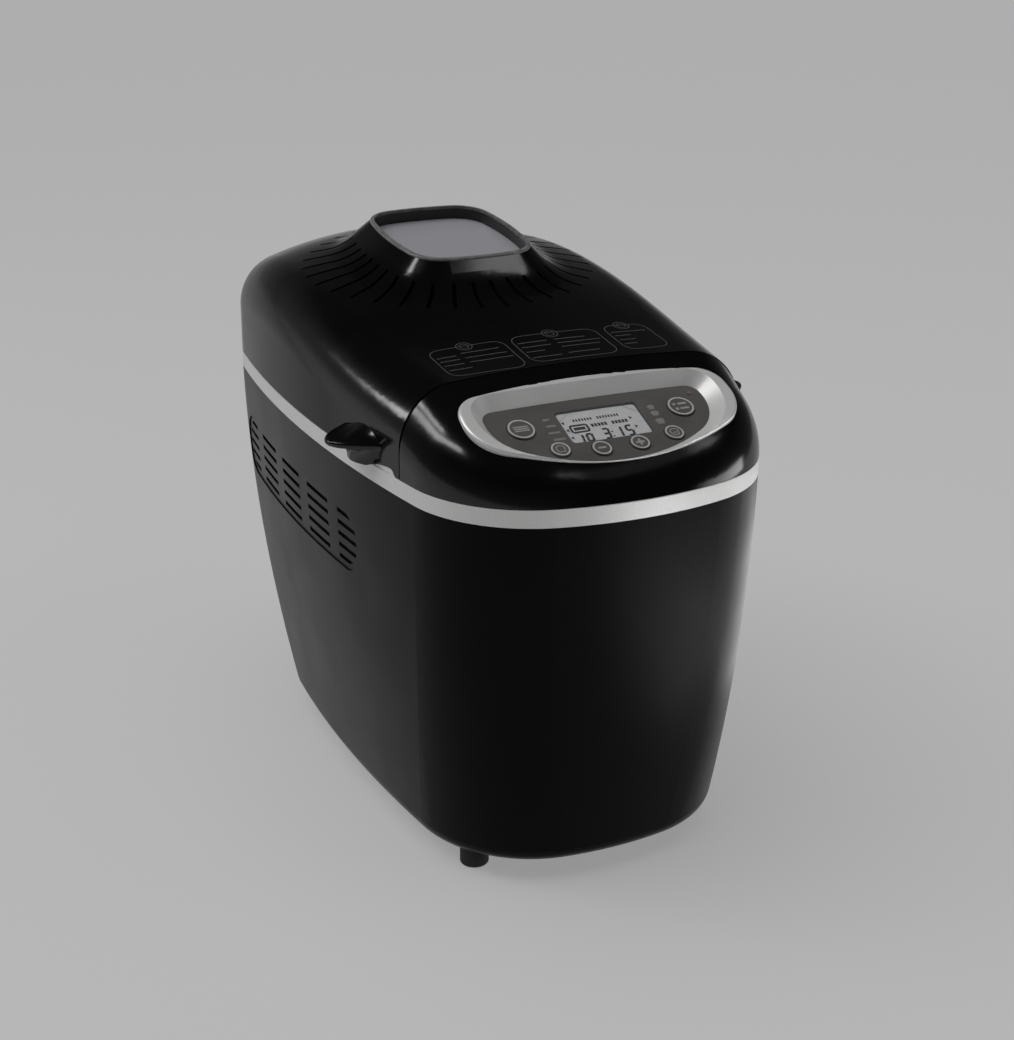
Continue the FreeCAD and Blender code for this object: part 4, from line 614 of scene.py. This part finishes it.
display = {
    # left end, foot, width and height of each figure, in millimetres on the panel
    "figures": (("1", -20.0, -11.1, 3.4, 7.0), ("0", -15.4, -11.1, 4.6, 7.0),
                ("3", -4.9, -11.1, 4.7, 9.2), ("1", 3.6, -11.1, 3.8, 9.2), ("5", 9.4, -11.1, 4.8, 9.2)),
    "lean": 0.10, "stroke": 1.45, "gap": 0.12,
    "lit": {"0": "abcdef", "1": "bc", "3": "abcdg", "5": "acdfg"},
    # rows of small blocks in place of words: start, end, place up the panel, block width, height, pitch
    "rows": ((-16.6, -3.6, 7.2, 1.0, 2.0, 1.75), (-1.8, 12.4, 7.2, 1.0, 2.0, 1.75),
             (-7.9, 2.8, 1.6, 1.5, 2.5, 2.05), (4.9, 15.4, 1.6, 1.5, 2.5, 2.05)),
    # arrow heads: foot across, place up the panel, way they point
    "arrows": ((-22.4, 6.2, -1), (-22.0, 0.2, -1), (-22.0, -6.1, -1), (16.6, 3.3, 1), (16.8, -4.0, 1)),
    "arrowLength": 1.7, "arrowWidths": (2.6, 0.05),
    "colon": ((1.1, 2.1, -5.6, 1.0), (0.8, 1.8, -9.2, 1.0)),  # bars of the clock's colon
    # round-cornered frame at the left with a bar in it: left, right, foot, top, corner
    "frame": (-20.6, -10.4, -2.3, 3.2, 1.2), "frameLine": 1.3, "frameStep": 0.5,
    "frameBar": (-19.0, -12.0, 0.45, 2.2),
}


def figure(value, x, y, width, height):
    # seven segments, each a bar with a small gap at both ends; the lean is added in proportion to height
    gap, inset = display["gap"], 0.5 * display["stroke"]
    left, right, half = x + inset, x + width - inset, y + 0.5 * height
    low, top = y + inset, y + height - inset
    ends = {
        "a": ((left + gap, top), (right - gap, top)),
        "b": ((right, half + gap), (right, top - gap)),
        "c": ((right, low + gap), (right, half - gap)),
        "d": ((left + gap, low), (right - gap, low)),
        "e": ((left, low + gap), (left, half - gap)),
        "f": ((left, half + gap), (left, top - gap)),
        "g": ((left + gap, half), (right - gap, half)),
    }
    points, faces = joined([ribbon(ends[name], display["stroke"]) for name in display["lit"][value]])
    points[:, 0] += display["lean"] * (points[:, 1] - y)
    return points, faces


def blocks(start, end, height, width, tall, pitch):
    # a word as a row of equal blocks
    lefts = np.arange(start, end - width, pitch)
    return joined([bar(x, x + width, height, tall) for x in lefts])


ink = [figure(*f) for f in display["figures"]]
ink += [blocks(*row) for row in display["rows"]]
for u, w, way in display["arrows"]:
    ink.append(bar(u, u + way * display["arrowLength"], w, display["arrowWidths"]))
ink += [bar(*dot) for dot in display["colon"]]
ink.append(outline(roundFrame(*display["frame"]), display["frameLine"], display["frameStep"]))
ink.append(bar(*display["frameBar"]))
points, faces = joined(ink)
printed("displayInk", onPanel(points, panel["inkLift"]), faces, "displayInk", "housing")
print("panel marks and display figures made")

lidMarks = {
    "line": 0.55, "bar": 0.75, "step": 1.2, "corner": 7.0,
    # three outlines, in millimetres: left, right, front, rear
    "frames": ((-71.0, -24.5, -117.0, -80.5), (-19.5, 35.5, -114.0, -79.0), (41.5, 69.5, -112.5, -77.5)),
    "badges": ((-47.8, -81.0), (7.0, -80.0), (55.0, -78.3)),  # round signs on the rear side of each outline
    # bars in place of lines of words: left, right, place along Y
    "bars": ((-69.0, -57.0, -91.0), (-69.0, -57.0, -96.0), (-69.0, -57.0, -102.0), (-69.0, -55.0, -108.5),
             (-53.5, -30.0, -89.0), (-53.5, -28.0, -95.5), (-53.5, -26.5, -101.4),
             (-17.5, 1.0, -88.0), (-17.5, 1.0, -93.6), (-17.5, -6.0, -100.0), (-17.5, 1.0, -108.0),
             (5.5, 25.5, -88.0), (5.5, 33.0, -93.0), (5.5, 30.4, -98.2), (5.5, 25.7, -107.0),
             (43.5, 66.5, -86.9), (43.5, 54.0, -92.0), (43.5, 54.0, -98.0), (43.5, 52.0, -104.0)),
    "badgeRadius": 4.7, "badgePoints": 48,
    "sign": 4.2, "signLine": 0.5, "signStep": 0.5,  # loaf in each round sign
    "dropFrom": 400.0,  # height from which the print is laid on the lid
}


def laidOnLid(name, points, faces, finish):
    # the flat bands are dropped straight down on the lid's outer face, then become one thin piece
    start = mm * np.column_stack((points, np.full(len(points), lidMarks["dropFrom"])))
    mesh = bpy.data.meshes.new(name + "Flat")
    mesh.from_pydata(start.tolist(), [], faces.tolist())
    flat = bpy.data.objects.new(name + "Flat", mesh)
    bpy.context.scene.collection.objects.link(flat)
    drop = flat.modifiers.new("drop", "SHRINKWRAP")
    drop.wrap_method = "PROJECT"
    drop.use_project_z = True
    drop.use_negative_direction = True
    drop.use_positive_direction = False
    drop.target = nodes["lid_shell"]
    bpy.context.view_layer.update()
    landed = flat.evaluated_get(bpy.context.evaluated_depsgraph_get()).to_mesh()
    place = np.empty(len(landed.vertices) * 3, np.float32)
    landed.vertices.foreach_get("co", place)
    bpy.data.objects.remove(flat)
    printed(name, place.reshape(-1, 3).astype(float), faces, finish, "lid")


bands = [outline(roundFrame(*sides, lidMarks["corner"]), lidMarks["line"], lidMarks["step"])
         for sides in lidMarks["frames"]]
for x, y in lidMarks["badges"]:
    bands.append(ring(x, y, lidMarks["badgeRadius"], lidMarks["line"], lidMarks["badgePoints"]))
    bands.append(outline(loafSign(x, y, lidMarks["sign"]), lidMarks["signLine"], lidMarks["signStep"]))
for x0, x1, y in lidMarks["bars"]:
    bands.append(ribbon(evenly(((x0, y), (x1, y)), lidMarks["step"]), lidMarks["bar"]))
laidOnLid("lidPrint", *joined(bands), "lidInk")
print("lid print laid on the lid")
